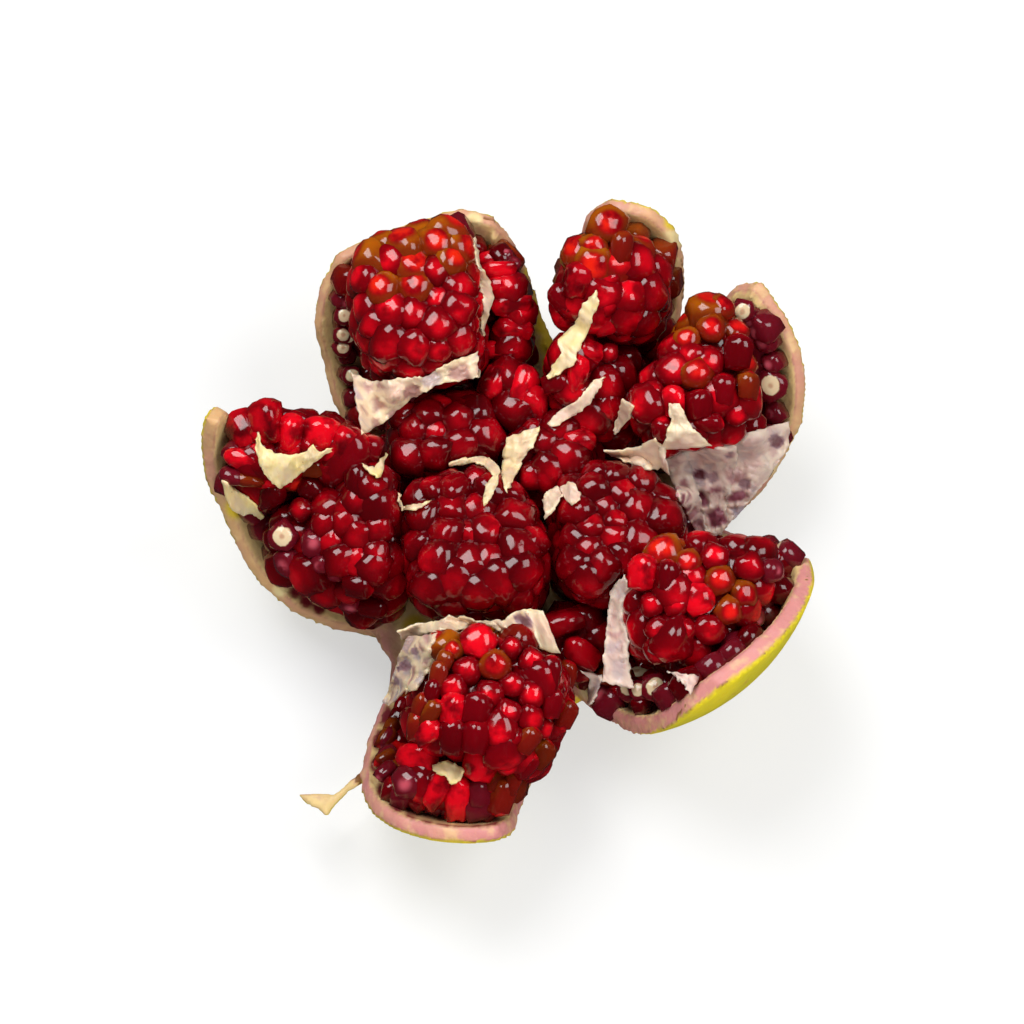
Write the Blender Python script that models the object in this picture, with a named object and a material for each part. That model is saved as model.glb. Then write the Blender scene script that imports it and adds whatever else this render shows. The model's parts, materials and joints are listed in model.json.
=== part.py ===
"""A ripe pomegranate split open like a flower.

The rind is one body: six lobes torn apart from the crown down and still joined at the
stem end. Each lobe is a piece of the fruit's own round shell, leant outwards. The arils
stand in packed masses, one or more to a lobe and five over the base, and the pale septa
that parted the chambers stand between them or cover them.

Units are millimetres in the tables and metres in the mesh. +Z is up, +Y points to the
back lobes. The tables are measured from the fruit's axis, where it meets the base.
At the end everything is moved by CENTRING, so that the origin is under the middle of the
opened fruit, on the surface that it stands on.
"""

import math

import bmesh
import bpy
import numpy as np
from mathutils import Matrix, Vector
from mathutils.bvhtree import BVHTree

MM = 0.001
CENTRING = (0.98, -0.85, 0.0)

# The rind
RIND_THICKNESS = 3.6
LOBE_LIFT = 1.0
LOBE_RINGS = 3
LOBE_SIDES = 24
RIND_WAVE = 0.5
UNION_WELD = 0.01
RIND_CONE = 0.2
BASE_PROFILE = [  # (radius, height) of the stem end, from the scar outwards and back in
    (2.6, 1.4),
    (4.4, 0.0),
    (13.0, 0.0),
    (21.0, 1.3),
    (28.0, 4.2),
    (29.5, 6.6),
    (25.0, 9.2),
    (12.0, 10.8),
]
BASE_SIDES = 32

# The arils
ARIL_SPACING = 6.6
ARIL_RISE = 1.5
ARIL_GROOVE = 1.0
HIDDEN_SPACING = 2.3  # times ARIL_SPACING, where a neighbour or the rind covers the mass
WIDEST_TURN = 0.95  # radians between neighbouring arils, seen from the mass's centre
EDGE_SHARPNESS = 9
SIDE_BATTER = math.radians(6)
GAP = 0.35
RIND_GAP = 0.9
CENTRE_DEPTH = 3.5  # at least this far inside the rind
LEAST_REACH = 3.0
LAYOUT_SEED = 11
CANDIDATES = 4200
RELAX_STEPS = 4

# The septa
PIT_DEPTH = 1.3
PATCH_SIDES = 18
PATCH_LIFT = 1.0
PATCH_RINGS = 4
PRESSED_MARGIN = 5.0
PRESSED_DEPTH = 2.8
SHEET_THICKNESS = 0.9
SHEET_STEP = 2.0
SHEET_ROOM = 3.0

COLOURS = {  # base colour, roughness
    "rind": ((0.78, 0.66, 0.18, 1), 0.45),
    "aril": ((0.42, 0.01, 0.02, 1), 0.12),
    "septum": ((0.86, 0.76, 0.58, 1), 0.6),
}

# Each lobe: the centre of its round shell in plan, its outer radius, and its torn edge as
# (bearing, elevation) in degrees from that centre, anticlockwise from above
LOBES = {
    "upper_left": {
        "centre": (-9, 19),
        "radius": 43.5,
        "edge": [(53, -46), (63, -39), (70, -29), (76, -18), (81, -10), (87, -3), (94, -6),
                 (106, -9), (121, -9), (126, -9), (134, -18), (139, -25), (144, -37),
                 (152, -47), (158, -56), (-160, -64), (-100, -68), (-65, -68), (-20, -66),
                 (20, -58)],
    },
    "upper_right": {
        "centre": (10, 20),
        "radius": 43.5,
        "edge": [(44, -48), (49, -36), (54, -22), (57, -12), (60, -4), (64, 2), (72, 2),
                 (78, 1), (84, -8), (86, -25), (84, -40), (85, -54), (130, -64), (-170, -67),
                 (-117, -68), (-60, -68), (20, -62)],
    },
    "right": {
        "centre": (20, 13.5),
        "radius": 43.5,
        "edge": [(-22, -66), (-2, -52), (4, -47), (11, -39), (17, -30), (21, -25), (29, -18),
                 (34, -13), (40, -10), (46, -6), (53, -5), (58, -16), (60, -28), (64, -40),
                 (72, -52), (120, -64), (170, -66), (-146, -66), (-100, -69), (-55, -69)],
    },
    "lower_right": {
        "centre": (17, -1.5),
        "radius": 41.0,
        "edge": [(-102, -52), (-91, -45), (-84, -33), (-75, -12), (-69, 0), (-62, 8),
                 (-46, 8), (-34, 5), (-21, -2), (-10, -10), (-4, -18), (0, -30), (6, -38),
                 (20, -50), (50, -62), (120, -68), (175, -66), (-150, -64), (-120, -60)],
    },
    "bottom": {
        "centre": (-8, -19.5),
        "radius": 43.5,
        "edge": [(-164, -67), (-149, -60), (-139, -52), (-133, -46), (-127, -38),
                 (-122, -32), (-115, -25), (-106, -20), (-97, -17), (-90, -17), (-83, -19),
                 (-78, -25), (-75, -36), (-66, -50), (-50, -58), (-20, -64), (30, -68),
                 (66, -68), (110, -68), (156, -69)],
    },
    "left": {
        "centre": (-18, -2),
        "radius": 43.5,
        "edge": [(150, 2), (153, 8), (157, 1), (160, -7), (164, -16), (166, -24), (169, -30),
                 (174, -35), (-180, -41), (-173, -46), (-165, -53), (-159, -58), (-149, -65),
                 (-120, -74), (-60, -74), (6, -64), (60, -62), (100, -58), (125, -50),
                 (140, -38), (146, -20)],
    },
}

# A curl of torn skin on the bottom lobe's left corner: plan outline, heights at its ends
TORN_CURL = {
    "outline": [(-25.5, -40.0), (-30.0, -43.4), (-33.4, -46.4), (-40.5, -46.0),
                (-38.8, -48.6), (-36.2, -49.2), (-35.0, -51.4), (-33.2, -48.4),
                (-30.2, -45.8), (-26.5, -43.6)],
    "height": 13.5,
    "slope": -0.12,
    "thickness": 1.6,
}

# Each mass: plan outline at outline_z, its highest and lowest level, the slope of its top
# face in x and y, and the lobe whose shell holds it. A style other than beads is a septum.
MASSES = {
    "arils_upper_left": {
        "lobe": "upper_left", "outline_z": 38, "top": 49, "low": 4, "slope": (0.0, 0.1),
        "outline": [(-32, 51), (-22, 61), (-9, 62), (-5, 44), (-6, 32), (-14, 27), (-23, 27),
                    (-30, 36)],
    },
    "arils_upper_left_flank": {
        "lobe": "upper_left", "outline_z": 28, "top": 33, "low": 9, "slope": (0.8, 0.2),
        "seam_reach": 12.5,
        "outline": [(-38, 52), (-33, 58), (-26, 46), (-20, 31), (-24, 23), (-30, 24), (-36, 33)],
    },
    "arils_upper_left_strip": {
        "lobe": "upper_left", "outline_z": 34, "top": 37, "low": 6, "slope": (-0.7, 0.3),
        "seam_reach": 12.0,
        "outline": [(-7, 63), (-2, 63), (3, 55), (5.5, 45), (6, 37), (4, 31), (-6, 30), (-5, 48)],
    },
    "arils_upper_left_foot": {
        "lobe": None, "outline_z": 30, "top": 34, "low": 13, "slope": (0.0, 0.0),
        "outline": [(-7, 31), (2, 35), (7, 33), (8, 25), (3, 21), (-2, 24)],
    },
    "arils_upper_right": {
        "lobe": "upper_right", "outline_z": 36, "top": 49, "low": 4, "slope": (-0.4, 0.35),
        "outline": [(8, 43), (12, 58), (18, 64), (25, 64), (29, 57), (30, 43), (25, 33), (13, 34)],
    },
    "arils_upper_right_foot": {
        "lobe": "upper_right", "outline_z": 32, "top": 40, "low": 4, "slope": (-0.4, 0.5),
        "outline": [(8, 38), (17, 42), (28, 40), (25, 28), (20, 19), (10, 19), (6, 26)],
    },
    "arils_right": {
        "lobe": "right", "outline_z": 38, "top": 47, "low": 4, "slope": (-0.1, 0.1),
        "outline": [(36, 44), (44, 46), (50, 38), (51, 28), (50, 19), (43, 18), (34, 18),
                    (26, 11), (19, 13), (24, 27)],
    },
    "arils_right_edge": {
        "lobe": "right", "outline_z": 36, "top": 37, "low": 22, "slope": (-0.9, 0.0),
        "seam_reach": 13.0,
        "outline": [(45, 48), (49, 46), (54, 37), (55, 25), (53, 16), (48, 16), (47, 29), (45, 39)],
    },
    "septum_right": {
        "lobe": "right", "outline_z": 26, "top": 27, "low": 4, "slope": (-0.15, 0.8),
        "style": "pits",
        "outline": [(31, 25), (44, 22), (53, 23), (54, 20), (49, 12), (42, 4), (37, 0), (35, 5),
                    (30, 12), (27, 17)],
    },
    "arils_lower_right": {
        "lobe": "lower_right", "outline_z": 36, "top": 46, "low": 4, "slope": (0.0, 0.1),
        "outline": [(22, -6), (33, -4), (48, -4), (54, -9), (51, -18), (41, -24), (35, -29),
                    (24, -30), (21, -23), (20, -15)],
    },
    "arils_lower_right_pocket": {
        "lobe": "lower_right", "outline_z": 20, "top": 25, "low": 12, "slope": (-0.2, 0.4),
        "seam_reach": 8.0,
        "outline": [(14, -27), (20, -25), (33, -22), (36, -26), (31, -33), (22, -35), (15, -33)],
    },
    "arils_bottom": {
        "lobe": "bottom", "outline_z": 34, "top": 44, "low": 4, "slope": (0.05, 0.1),
        "outline": [(-16, -22), (-6, -19), (4, -22), (11, -28), (11, -34), (7, -42), (3, -49),
                    (-4, -47), (-17, -46), (-21, -42), (-19, -32)],
    },
    "arils_bottom_flank": {
        "lobe": "bottom", "outline_z": 14, "top": 21, "low": 8, "slope": (0.7, 0.0),
        "seam_reach": 9.0,
        "outline": [(-22, -25), (-15, -24), (-15, -48), (-20, -51), (-25, -46), (-27, -36),
                    (-25, -29)],
    },
    "arils_bottom_row": {
        "lobe": "bottom", "outline_z": 28, "top": 32, "low": 15, "slope": (0.0, 0.25),
        "seam_reach": 11.0,
        "outline": [(-24, -46), (-17, -42), (-2, -42), (4, -44), (1, -52), (-3, -58), (-13, -59),
                    (-21, -55)],
    },
    "septum_bottom": {
        "lobe": "bottom", "outline_z": 30, "top": 33, "low": 6, "slope": (0.6, 0.2),
        "style": "pits", "seam_reach": 9.0,
        "outline": [(-21, -20), (-14, -19), (-12, -22), (-14, -30), (-18, -35), (-22, -29)],
    },
    "arils_left": {
        "lobe": "left", "outline_z": 20, "top": 38, "low": 4, "slope": (0.2, 0.35),
        "outline": [(-51, 6), (-38, 13), (-22, 15), (-18, 3), (-19, -7), (-17, -13), (-25, -15),
                    (-34, -14), (-43, -10), (-48, -4)],
    },
    "arils_left_top": {
        "lobe": "left", "outline_z": 38, "top": 45, "low": 16, "slope": (0.0, 0.3),
        "outline": [(-57, 22), (-52, 26), (-40, 23), (-31, 19), (-24, 15), (-25, 12), (-34, 10),
                    (-47, 6), (-53, 5), (-56, 11)],
    },
    "arils_centre_back": {
        "lobe": None, "outline_z": 28, "top": 34, "low": 12, "slope": (0.0, -0.1),
        "outline": [(-24, 21), (-20, 28), (-14, 31), (-6, 29), (-1, 22), (-1, 15), (-10, 13),
                    (-17, 11), (-23, 14)],
    },
    "arils_centre": {
        "lobe": None, "outline_z": 30, "top": 39, "low": 12, "slope": (0.0, -0.1),
        "outline": [(-21, 10), (-10, 13), (-1, 12), (6, 2), (7, -8), (4, -16), (-6, -18),
                    (-17, -17), (-21, -6)],
    },
    "arils_centre_right": {
        "lobe": None, "outline_z": 30, "top": 37, "low": 12, "slope": (-0.1, 0.0),
        "outline": [(6, 10), (17, 15), (26, 12), (33, 4), (33, -2), (24, -6), (19, -14),
                    (10, -15), (6, -6)],
    },
    "arils_centre_front": {
        "lobe": None, "outline_z": 24, "top": 28, "low": 12, "slope": (0.0, 0.1),
        "outline": [(5, -14), (17, -14), (19, -20), (17, -25), (11, -25), (6, -20)],
    },
    "arils_centre_top": {
        "lobe": None, "outline_z": 29, "top": 34, "low": 12, "slope": (0.0, 0.0),
        "outline": [(-1, 21), (3, 24), (15, 23), (19, 19), (17, 14), (9, 13), (3, 7), (0, 11)],
    },
}

# Pale pieces that lie on a mass, which is pressed flat under them: plan outline at outline_z
PATCHES = {
    "placenta_left": {
        "on": "arils_left_top", "outline_z": 44, "thickness": 1.6,
        "outline": [(-47.6, 13.2), (-43.4, 10.6), (-42, 13.4), (-40, 10.4), (-35.2, 12.2),
                    (-36.4, 8.4), (-40.4, 5.6), (-45.6, 5.4), (-45, 8.4)],
    },
    "placenta_upper_right": {
        "on": "arils_upper_right_foot", "outline_z": 39, "thickness": 1.5,
        "outline": [(17.4, 39.6), (16.4, 35.4), (14.4, 31.4), (12.6, 27.6), (9.2, 26.6),
                    (9.8, 31.0), (11.6, 35.6), (13.6, 39.4)],
    },
    "septum_centre_flap": {
        "on": "arils_centre_right", "outline_z": 38, "thickness": 1.2,
        "outline": [(6.6, 1.8), (8.0, 5.8), (11.8, 7.6), (12.4, 4.2), (10.4, 1.6), (8.2, -1.2)],
    },
    "placenta_bottom": {
        "on": "arils_bottom_row", "outline_z": 33, "thickness": 1.4,
        "outline": [(-14.8, -48.4), (-12.2, -46.8), (-9.6, -48.2), (-10.2, -50.8),
                    (-13.2, -51.2)],
    },
}

# Thin septa that stand between two masses: how far each reaches along the seam and from
# the seam's middle down and up, and the depth of its torn upper edge
SHEETS = {
    "septum_upper_left_ridge": {
        "between": ("arils_upper_left", "arils_upper_left_strip"),
        "along": (-15, 15), "down": -16, "up": 14, "torn": 1.2,
    },
    "septum_upper_left_foot": {
        "between": ("arils_upper_left", "arils_centre_back"),
        "along": (-11, 10), "down": -8, "up": 12, "torn": 2.4,
    },
    "septum_centre_back": {
        "between": ("arils_centre_back", "arils_centre"),
        "along": (-7, 10), "down": -10, "up": 9, "torn": 2.0,
    },
    "septum_centre_right": {
        "between": ("arils_centre", "arils_centre_right"),
        "along": (-8, 6), "down": -12, "up": 8, "torn": 2.2,
    },
    "septum_bottom_back": {
        "between": ("arils_centre", "arils_bottom"),
        "along": (-12, 13), "down": -10, "up": 10, "torn": 2.2,
    },
    "septum_lower_right": {
        "between": ("arils_lower_right", "arils_centre_front"),
        "along": (-9, 10), "down": -10, "up": 13, "torn": 1.6,
    },
    "septum_right_foot": {
        "between": ("arils_right", "arils_centre_right"),
        "along": (-8, 9), "down": -10, "up": 9, "torn": 1.8,
    },
}


def material(kind):
    """The named plain finish, made once."""
    found = bpy.data.materials.get(kind)
    if found:
        return found
    made = bpy.data.materials.new(kind)
    made.use_nodes = True
    shader = made.node_tree.nodes["Principled BSDF"]
    colour, roughness = COLOURS[kind]
    shader.inputs["Base Color"].default_value = colour
    shader.inputs["Roughness"].default_value = roughness
    shader.inputs["Metallic"].default_value = 0.0
    made.diffuse_color = colour
    return made


def add_object(name, vertices, faces, kind, scale=MM):
    """A named object from vertices in millimetres, with its finish."""
    mesh = bpy.data.meshes.new(name)
    mesh.from_pydata([Vector(v) * scale for v in vertices], [], faces)
    mesh.validate()
    mesh.materials.append(material(kind))
    made = bpy.data.objects.new(name, mesh)
    bpy.context.collection.objects.link(made)
    return made


def unit(vectors):
    """The vectors, each made one long."""
    return vectors / np.linalg.norm(vectors, axis=-1, keepdims=True)


def bearing_vector(bearing, elevation):
    """A unit vector from a compass-like bearing and an elevation in degrees."""
    b = math.radians(bearing)
    e = math.radians(elevation)
    return np.array([math.cos(b) * math.cos(e), math.sin(b) * math.cos(e), math.sin(e)])


def smooth_loop(points, count):
    """count points, evenly spaced by parameter, on a closed Catmull-Rom curve."""
    given = np.asarray(points, float)
    lengths = np.linalg.norm(np.roll(given, -1, axis=0) - given, axis=1)
    ends = np.concatenate([[0.0], np.cumsum(lengths)])
    made = []
    for s in np.linspace(0, ends[-1], count, endpoint=False):
        i = int(np.searchsorted(ends, s, side="right")) - 1
        t = (s - ends[i]) / lengths[i]
        p0, p1, p2, p3 = (given[(i + k) % len(given)] for k in (-1, 0, 1, 2))
        made.append(
            0.5 * (2 * p1 + (p2 - p0) * t + (2 * p0 - 5 * p1 + 4 * p2 - p3) * t * t
                   + (3 * p1 - p0 - 3 * p2 + p3) * t ** 3)
        )
    return np.array(made)


# The rind: lobes, base and curl, joined by one union
def lobe_centre(name):
    """The centre of a lobe's round shell, in millimetres."""
    lobe = LOBES[name]
    return np.array([*lobe["centre"], lobe["radius"] + LOBE_LIFT])


def lobe_shell(name, phase):
    """Vertices and faces of one lobe, a piece of round shell inside its torn edge."""
    lobe = LOBES[name]
    centre = lobe_centre(name)
    edge = np.array([bearing_vector(*p) for p in lobe["edge"]])
    middle = unit(edge.mean(axis=0))
    across = unit(np.cross([0.0, 0.0, 1.0], middle))
    along = np.cross(middle, across)
    angles = np.arccos(np.clip(edge @ middle, -1, 1))
    flat = np.stack([edge @ across, edge @ along], axis=1)
    loop = smooth_loop(unit(flat) * angles[:, None], LOBE_SIDES)

    def on_shell(point, radius):
        angle = float(np.linalg.norm(point))
        if angle < 1e-9:
            return centre + middle * radius
        turned = (across * point[0] + along * point[1]) / angle
        return centre + (middle * math.cos(angle) + turned * math.sin(angle)) * radius

    outer = lobe["radius"]
    inner = outer - RIND_THICKNESS
    vertices = [on_shell((0, 0), outer)]
    for ring in range(1, LOBE_RINGS + 1):
        share = ring / LOBE_RINGS
        for k, p in enumerate(loop):
            wave = RIND_WAVE * math.sin(3.1 * share + phase + 5 * k * math.tau / LOBE_SIDES)
            vertices.append(on_shell(p * share, outer + wave * (share < 1)))
    inner_start = len(vertices)
    vertices.append(on_shell((0, 0), inner))
    for ring in range(1, LOBE_RINGS + 1):
        vertices.extend(on_shell(p * ring / LOBE_RINGS, inner) for p in loop)

    def at(start, ring, k):
        return start + 1 + (ring - 1) * LOBE_SIDES + k % LOBE_SIDES

    faces = []
    for k in range(LOBE_SIDES):
        faces.append((0, at(0, 1, k), at(0, 1, k + 1)))
        faces.append((inner_start, at(inner_start, 1, k + 1), at(inner_start, 1, k)))
        for ring in range(1, LOBE_RINGS):
            faces.append((at(0, ring, k), at(0, ring + 1, k), at(0, ring + 1, k + 1),
                          at(0, ring, k + 1)))
            faces.append((at(inner_start, ring, k), at(inner_start, ring, k + 1),
                          at(inner_start, ring + 1, k + 1), at(inner_start, ring + 1, k)))
        last = LOBE_RINGS
        faces.append((at(0, last, k), at(inner_start, last, k), at(inner_start, last, k + 1),
                      at(0, last, k + 1)))
    return vertices, faces


def base_dish():
    """Vertices and faces of the stem end, a turned dish with a scar under it."""
    rings = len(BASE_PROFILE)
    vertices = []
    for radius, height in BASE_PROFILE:
        for k in range(BASE_SIDES):
            turn = k * math.tau / BASE_SIDES
            vertices.append((radius * math.cos(turn), radius * math.sin(turn), height))
    under = len(vertices)
    vertices.append((0.0, 0.0, BASE_PROFILE[0][1]))
    over = len(vertices)
    vertices.append((0.0, 0.0, BASE_PROFILE[-1][1]))
    faces = []
    for k in range(BASE_SIDES):
        step = (k + 1) % BASE_SIDES
        faces.append((under, step, k))
        faces.append((over, (rings - 1) * BASE_SIDES + k, (rings - 1) * BASE_SIDES + step))
        for ring in range(rings - 1):
            low = ring * BASE_SIDES
            high = low + BASE_SIDES
            faces.append((low + k, low + step, high + step, high + k))
    return vertices, faces


def torn_curl():
    """Vertices and faces of the curl of torn skin, a thin plate that droops outwards."""
    outline = TORN_CURL["outline"]
    root = outline[0][0]
    vertices = []
    for level in (0.0, TORN_CURL["thickness"]):
        for x, y in outline:
            z = TORN_CURL["height"] + TORN_CURL["slope"] * (root - x) + level
            vertices.append((x, y, z))
    count = len(outline)
    faces = [tuple(range(count)), tuple(range(2 * count - 1, count - 1, -1))]
    for k in range(count):
        step = (k + 1) % count
        faces.append((k, k + count, step + count, step))
    return vertices, faces


def face_outwards(obj, weld=0.0):
    """Turns the mesh's faces outwards, in triangles, with points closer than weld made one."""
    shape = bmesh.new()
    shape.from_mesh(obj.data)
    if weld:
        bmesh.ops.remove_doubles(shape, verts=shape.verts, dist=weld)
    bmesh.ops.recalc_face_normals(shape, faces=shape.faces)
    bmesh.ops.triangulate(shape, faces=shape.faces)
    shape.to_mesh(obj.data)
    shape.free()


def make_rind():
    """The rind, one body, joined at the size of its millimetres and then made small."""
    rind = add_object("rind", *base_dish(), "rind", 1.0)
    face_outwards(rind)
    pieces = [lobe_shell(name, phase) for phase, name in enumerate(LOBES)]
    pieces.append(torn_curl())
    for vertices, faces in pieces:
        piece = add_object("rind_piece", vertices, faces, "rind", 1.0)
        face_outwards(piece)
        union = rind.modifiers.new("join", "BOOLEAN")
        union.operation = "UNION"
        union.object = piece
        union.solver = "MANIFOLD"
        apply_modifiers(rind)
        face_outwards(rind, UNION_WELD)
        bpy.data.objects.remove(piece)
    fill_cavities(rind)
    rind.data.transform(Matrix.Scale(MM, 4))
    return rind


def fill_cavities(obj):
    """Keeps the outermost surface alone, so that pockets closed in by the union are solid."""
    shape = bmesh.new()
    shape.from_mesh(obj.data)
    waiting = set(shape.verts)
    surfaces = []
    while waiting:
        start = waiting.pop()
        surface = [start]
        for vertex in surface:
            for edge in vertex.link_edges:
                other = edge.other_vert(vertex)
                if other in waiting:
                    waiting.discard(other)
                    surface.append(other)
        surfaces.append(surface)
    surfaces.sort(key=lambda surface: max(v.co.x for v in surface))
    for surface in surfaces[:-1]:
        bmesh.ops.delete(shape, geom=surface, context="VERTS")
    shape.to_mesh(obj.data)
    shape.free()


def apply_modifiers(obj):
    """Makes the object's modified shape its own mesh."""
    bpy.context.view_layer.update()
    graph = bpy.context.evaluated_depsgraph_get()
    made = bpy.data.meshes.new_from_object(obj.evaluated_get(graph))
    obj.modifiers.clear()
    obj.data = made


# The masses: rounded many-sided lumps that fill a cell of their own
def convex_outline(points):
    """The points on the convex hull, anticlockwise."""
    ordered = sorted(points)

    def half(run):
        chain = []
        for p in run:
            while len(chain) > 1 and cross_of(chain[-2], chain[-1], p) <= 0:
                chain.pop()
            chain.append(p)
        return chain[:-1]

    return half(ordered) + half(ordered[::-1])


def cross_of(a, b, c):
    """Twice the signed area of the triangle a, b, c."""
    return (b[0] - a[0]) * (c[1] - a[1]) - (b[1] - a[1]) * (c[0] - a[0])


def mass_centre(mass):
    """The point that a mass is built round."""
    outline = np.array(convex_outline(mass["outline"]), float)
    low = max(mass["low"], 8)
    centre = np.array([*outline.mean(axis=0), low + 0.6 * (mass["top"] - low)])
    if mass["lobe"]:
        ball = lobe_centre(mass["lobe"])
        room = LOBES[mass["lobe"]]["radius"] - RIND_THICKNESS - RIND_GAP - CENTRE_DEPTH
        out = np.linalg.norm(centre - ball)
        if out > room:
            centre = ball + (centre - ball) * room / out
    return centre


def mass_planes(mass):
    """(normals, distances) of a mass's faces from its centre."""
    centre = mass_centre(mass)
    outline = convex_outline(mass["outline"])
    normals = []
    points = []
    for k, (x0, y0) in enumerate(outline):
        x1, y1 = outline[(k + 1) % len(outline)]
        run = math.hypot(x1 - x0, y1 - y0)
        tilt = math.cos(SIDE_BATTER)
        normals.append(((y1 - y0) / run * tilt, (x0 - x1) / run * tilt, math.sin(SIDE_BATTER)))
        points.append(((x0 + x1) / 2, (y0 + y1) / 2, mass["outline_z"]))
    sx, sy = mass["slope"]
    normals.append(tuple(unit(np.array([-sx, -sy, 1.0]))))
    points.append((centre[0], centre[1], mass["top"]))
    normals.append((0, 0, -1))
    points.append((centre[0], centre[1], mass["low"]))
    normals = np.array(normals, float)
    distances = ((np.array(points, float) - centre) * normals).sum(axis=1)
    return normals, np.maximum(distances, LEAST_REACH)


def cell_planes(name):
    """(normals, distances) of the flat seams that part a mass from its neighbours."""
    normals = []
    distances = []
    for other in MASSES:
        if other != name:
            normal, middle = seam(name, other)
            normals.append(normal)
            distances.append(middle - seam_gap(name, other) / 2)
    return np.array(normals), np.array(distances)


def seam(first, second):
    """(normal, distance from the first mass's centre) of the flat seam between two masses."""
    offset = mass_centre(MASSES[second]) - mass_centre(MASSES[first])
    apart = np.linalg.norm(offset)
    middle = (apart ** 2 + seam_reach(first) ** 2 - seam_reach(second) ** 2) / (2 * apart)
    return offset / apart, min(max(middle, LEAST_REACH), apart - LEAST_REACH)


def seam_reach(name):
    """How strongly a mass holds its seams off: by default its mean reach to the sides."""
    if "seam_reach" in MASSES[name]:
        return MASSES[name]["seam_reach"]
    _, distances = mass_planes(MASSES[name])
    return float(np.mean(distances[:-2]))


def seam_gap(first, second):
    """The clear width of the seam between two masses, wider where a sheet stands in it."""
    for sheet in SHEETS.values():
        if set(sheet["between"]) == {first, second}:
            return SHEET_THICKNESS + 2 * GAP
    return GAP


def ray_to_ball(origin, directions, centre, radius):
    """How far each ray from origin, inside the ball, runs before it leaves the ball."""
    offset = origin - centre
    along = directions @ offset
    return -along + np.sqrt(along ** 2 - (offset @ offset - radius ** 2))


class Mass:
    """One mass: its rounded surface and what limits it, as distances from its centre."""

    def __init__(self, name, rind_tree):
        self.name = name
        self.data = MASSES[name]
        self.centre = mass_centre(self.data)
        self.normals, self.distances = mass_planes(self.data)
        self.seam_normals, self.seam_distances = cell_planes(name)
        self.rind_tree = rind_tree

    def soft(self, directions):
        """The rounded shape's radius along each direction."""
        facing = np.clip(directions @ self.normals.T, 0, None) / self.distances
        return (facing ** EDGE_SHARPNESS).sum(axis=1) ** (-1 / EDGE_SHARPNESS)

    def hard(self, directions):
        """The farthest that the mass may reach along each direction."""
        facing = directions @ self.seam_normals.T
        reach = np.where(facing > 1e-6, self.seam_distances / np.maximum(facing, 1e-6), 1e6)
        limit = reach.min(axis=1)
        floor = self.centre[2] - self.data["low"]
        down = np.maximum(-directions[:, 2], 1e-6)
        limit = np.minimum(limit, floor / down)
        if self.data["lobe"]:
            radius = LOBES[self.data["lobe"]]["radius"] - RIND_THICKNESS - RIND_GAP
            ball = lobe_centre(self.data["lobe"])
            limit = np.minimum(limit, ray_to_ball(self.centre, directions, ball, radius))
        return np.minimum(limit, self.clear_of_rind(directions))

    def surface(self, directions, rise=0.0):
        """The radius of the mass, risen where nothing lies on it or stands in its way."""
        under = self.pressed(directions)
        wanted = self.soft(directions) + np.where(under, 0.0, rise)
        return np.minimum(wanted, self.hard(directions) - np.where(under, PRESSED_DEPTH, 0.0))

    def pressed(self, directions):
        """Whether each direction lies under a pale piece or close beside it."""
        under = np.zeros(len(directions), bool)
        for patch in PATCHES.values():
            if patch["on"] == self.name:
                under |= self.under_patch(patch, directions)
        return under

    def under_patch(self, patch, directions):
        middle, across, along, loop = patch_loop(patch, self.centre)
        angles = np.arccos(np.clip(directions @ middle, -1, 1))
        flat = np.stack([directions @ across, directions @ along], axis=1)
        turn = np.arctan2(flat[:, 1], flat[:, 0])
        loop_turn = np.arctan2(loop[:, 1], loop[:, 0])
        order = np.argsort(loop_turn)
        reach = np.interp(turn, loop_turn[order], np.linalg.norm(loop, axis=1)[order],
                          period=math.tau)
        return angles < reach + PRESSED_MARGIN / self.soft(middle[None])[0]

    def clear_of_rind(self, directions):
        """How far each direction runs, with a narrow cone round it, before the rind is near."""
        origin = Vector(self.centre) * MM
        found = np.full(len(directions), 1e6)
        for k, direction in enumerate(directions):
            middle = Vector(direction)
            side = middle.orthogonal().normalized() * RIND_CONE
            over = middle.cross(side)
            for ray in (middle, middle + side, middle - side, middle + over, middle - over):
                hit = self.rind_tree.ray_cast(origin, ray)
                if hit[0] is not None:
                    found[k] = min(found[k], hit[3] / MM - RIND_GAP)
        return found


def spread_directions(count):
    """Evenly spread unit directions, on a spiral from pole to pole."""
    k = np.arange(count) + 0.5
    height = 1 - 2 * k / count
    turn = k * math.pi * (3 - math.sqrt(5))
    level = np.sqrt(1 - height ** 2)
    return np.stack([level * np.cos(turn), level * np.sin(turn), height], axis=1)


def place_arils(mass, draw):
    """(directions, shown) of the arils: evenly packed where the mass shows, sparse where
    a neighbour or the rind covers it."""
    directions = spread_directions(CANDIDATES)
    soft = mass.soft(directions)
    hard = mass.hard(directions)
    radius = np.minimum(soft, hard)
    points = directions * radius[:, None]
    shown = hard > soft + 0.2
    spacing = np.where(shown, ARIL_SPACING, ARIL_SPACING * HIDDEN_SPACING)
    spacing = np.minimum(spacing, WIDEST_TURN * radius)
    chosen = []
    for k in draw.permutation(CANDIDATES):
        if chosen:
            apart = np.linalg.norm(points[chosen] - points[k], axis=1)
            if (apart < 0.84 * np.minimum(spacing[chosen], spacing[k])).any():
                continue
        chosen.append(int(k))
    seeds = directions[chosen]
    seed_spacing = spacing[chosen]
    weight = radius ** 2 / spacing ** 2
    for _ in range(RELAX_STEPS):
        at = seeds * np.minimum(mass.soft(seeds), mass.hard(seeds))[:, None]
        apart = np.linalg.norm(points[:, None] - at[None], axis=2) / seed_spacing
        nearest = apart.argmin(axis=1)
        for s in range(len(seeds)):
            own = nearest == s
            if own.any():
                seeds[s] = unit((points[own] * weight[own, None]).sum(axis=0))
    return seeds, mass.hard(seeds) > mass.soft(seeds) + 0.2


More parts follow.
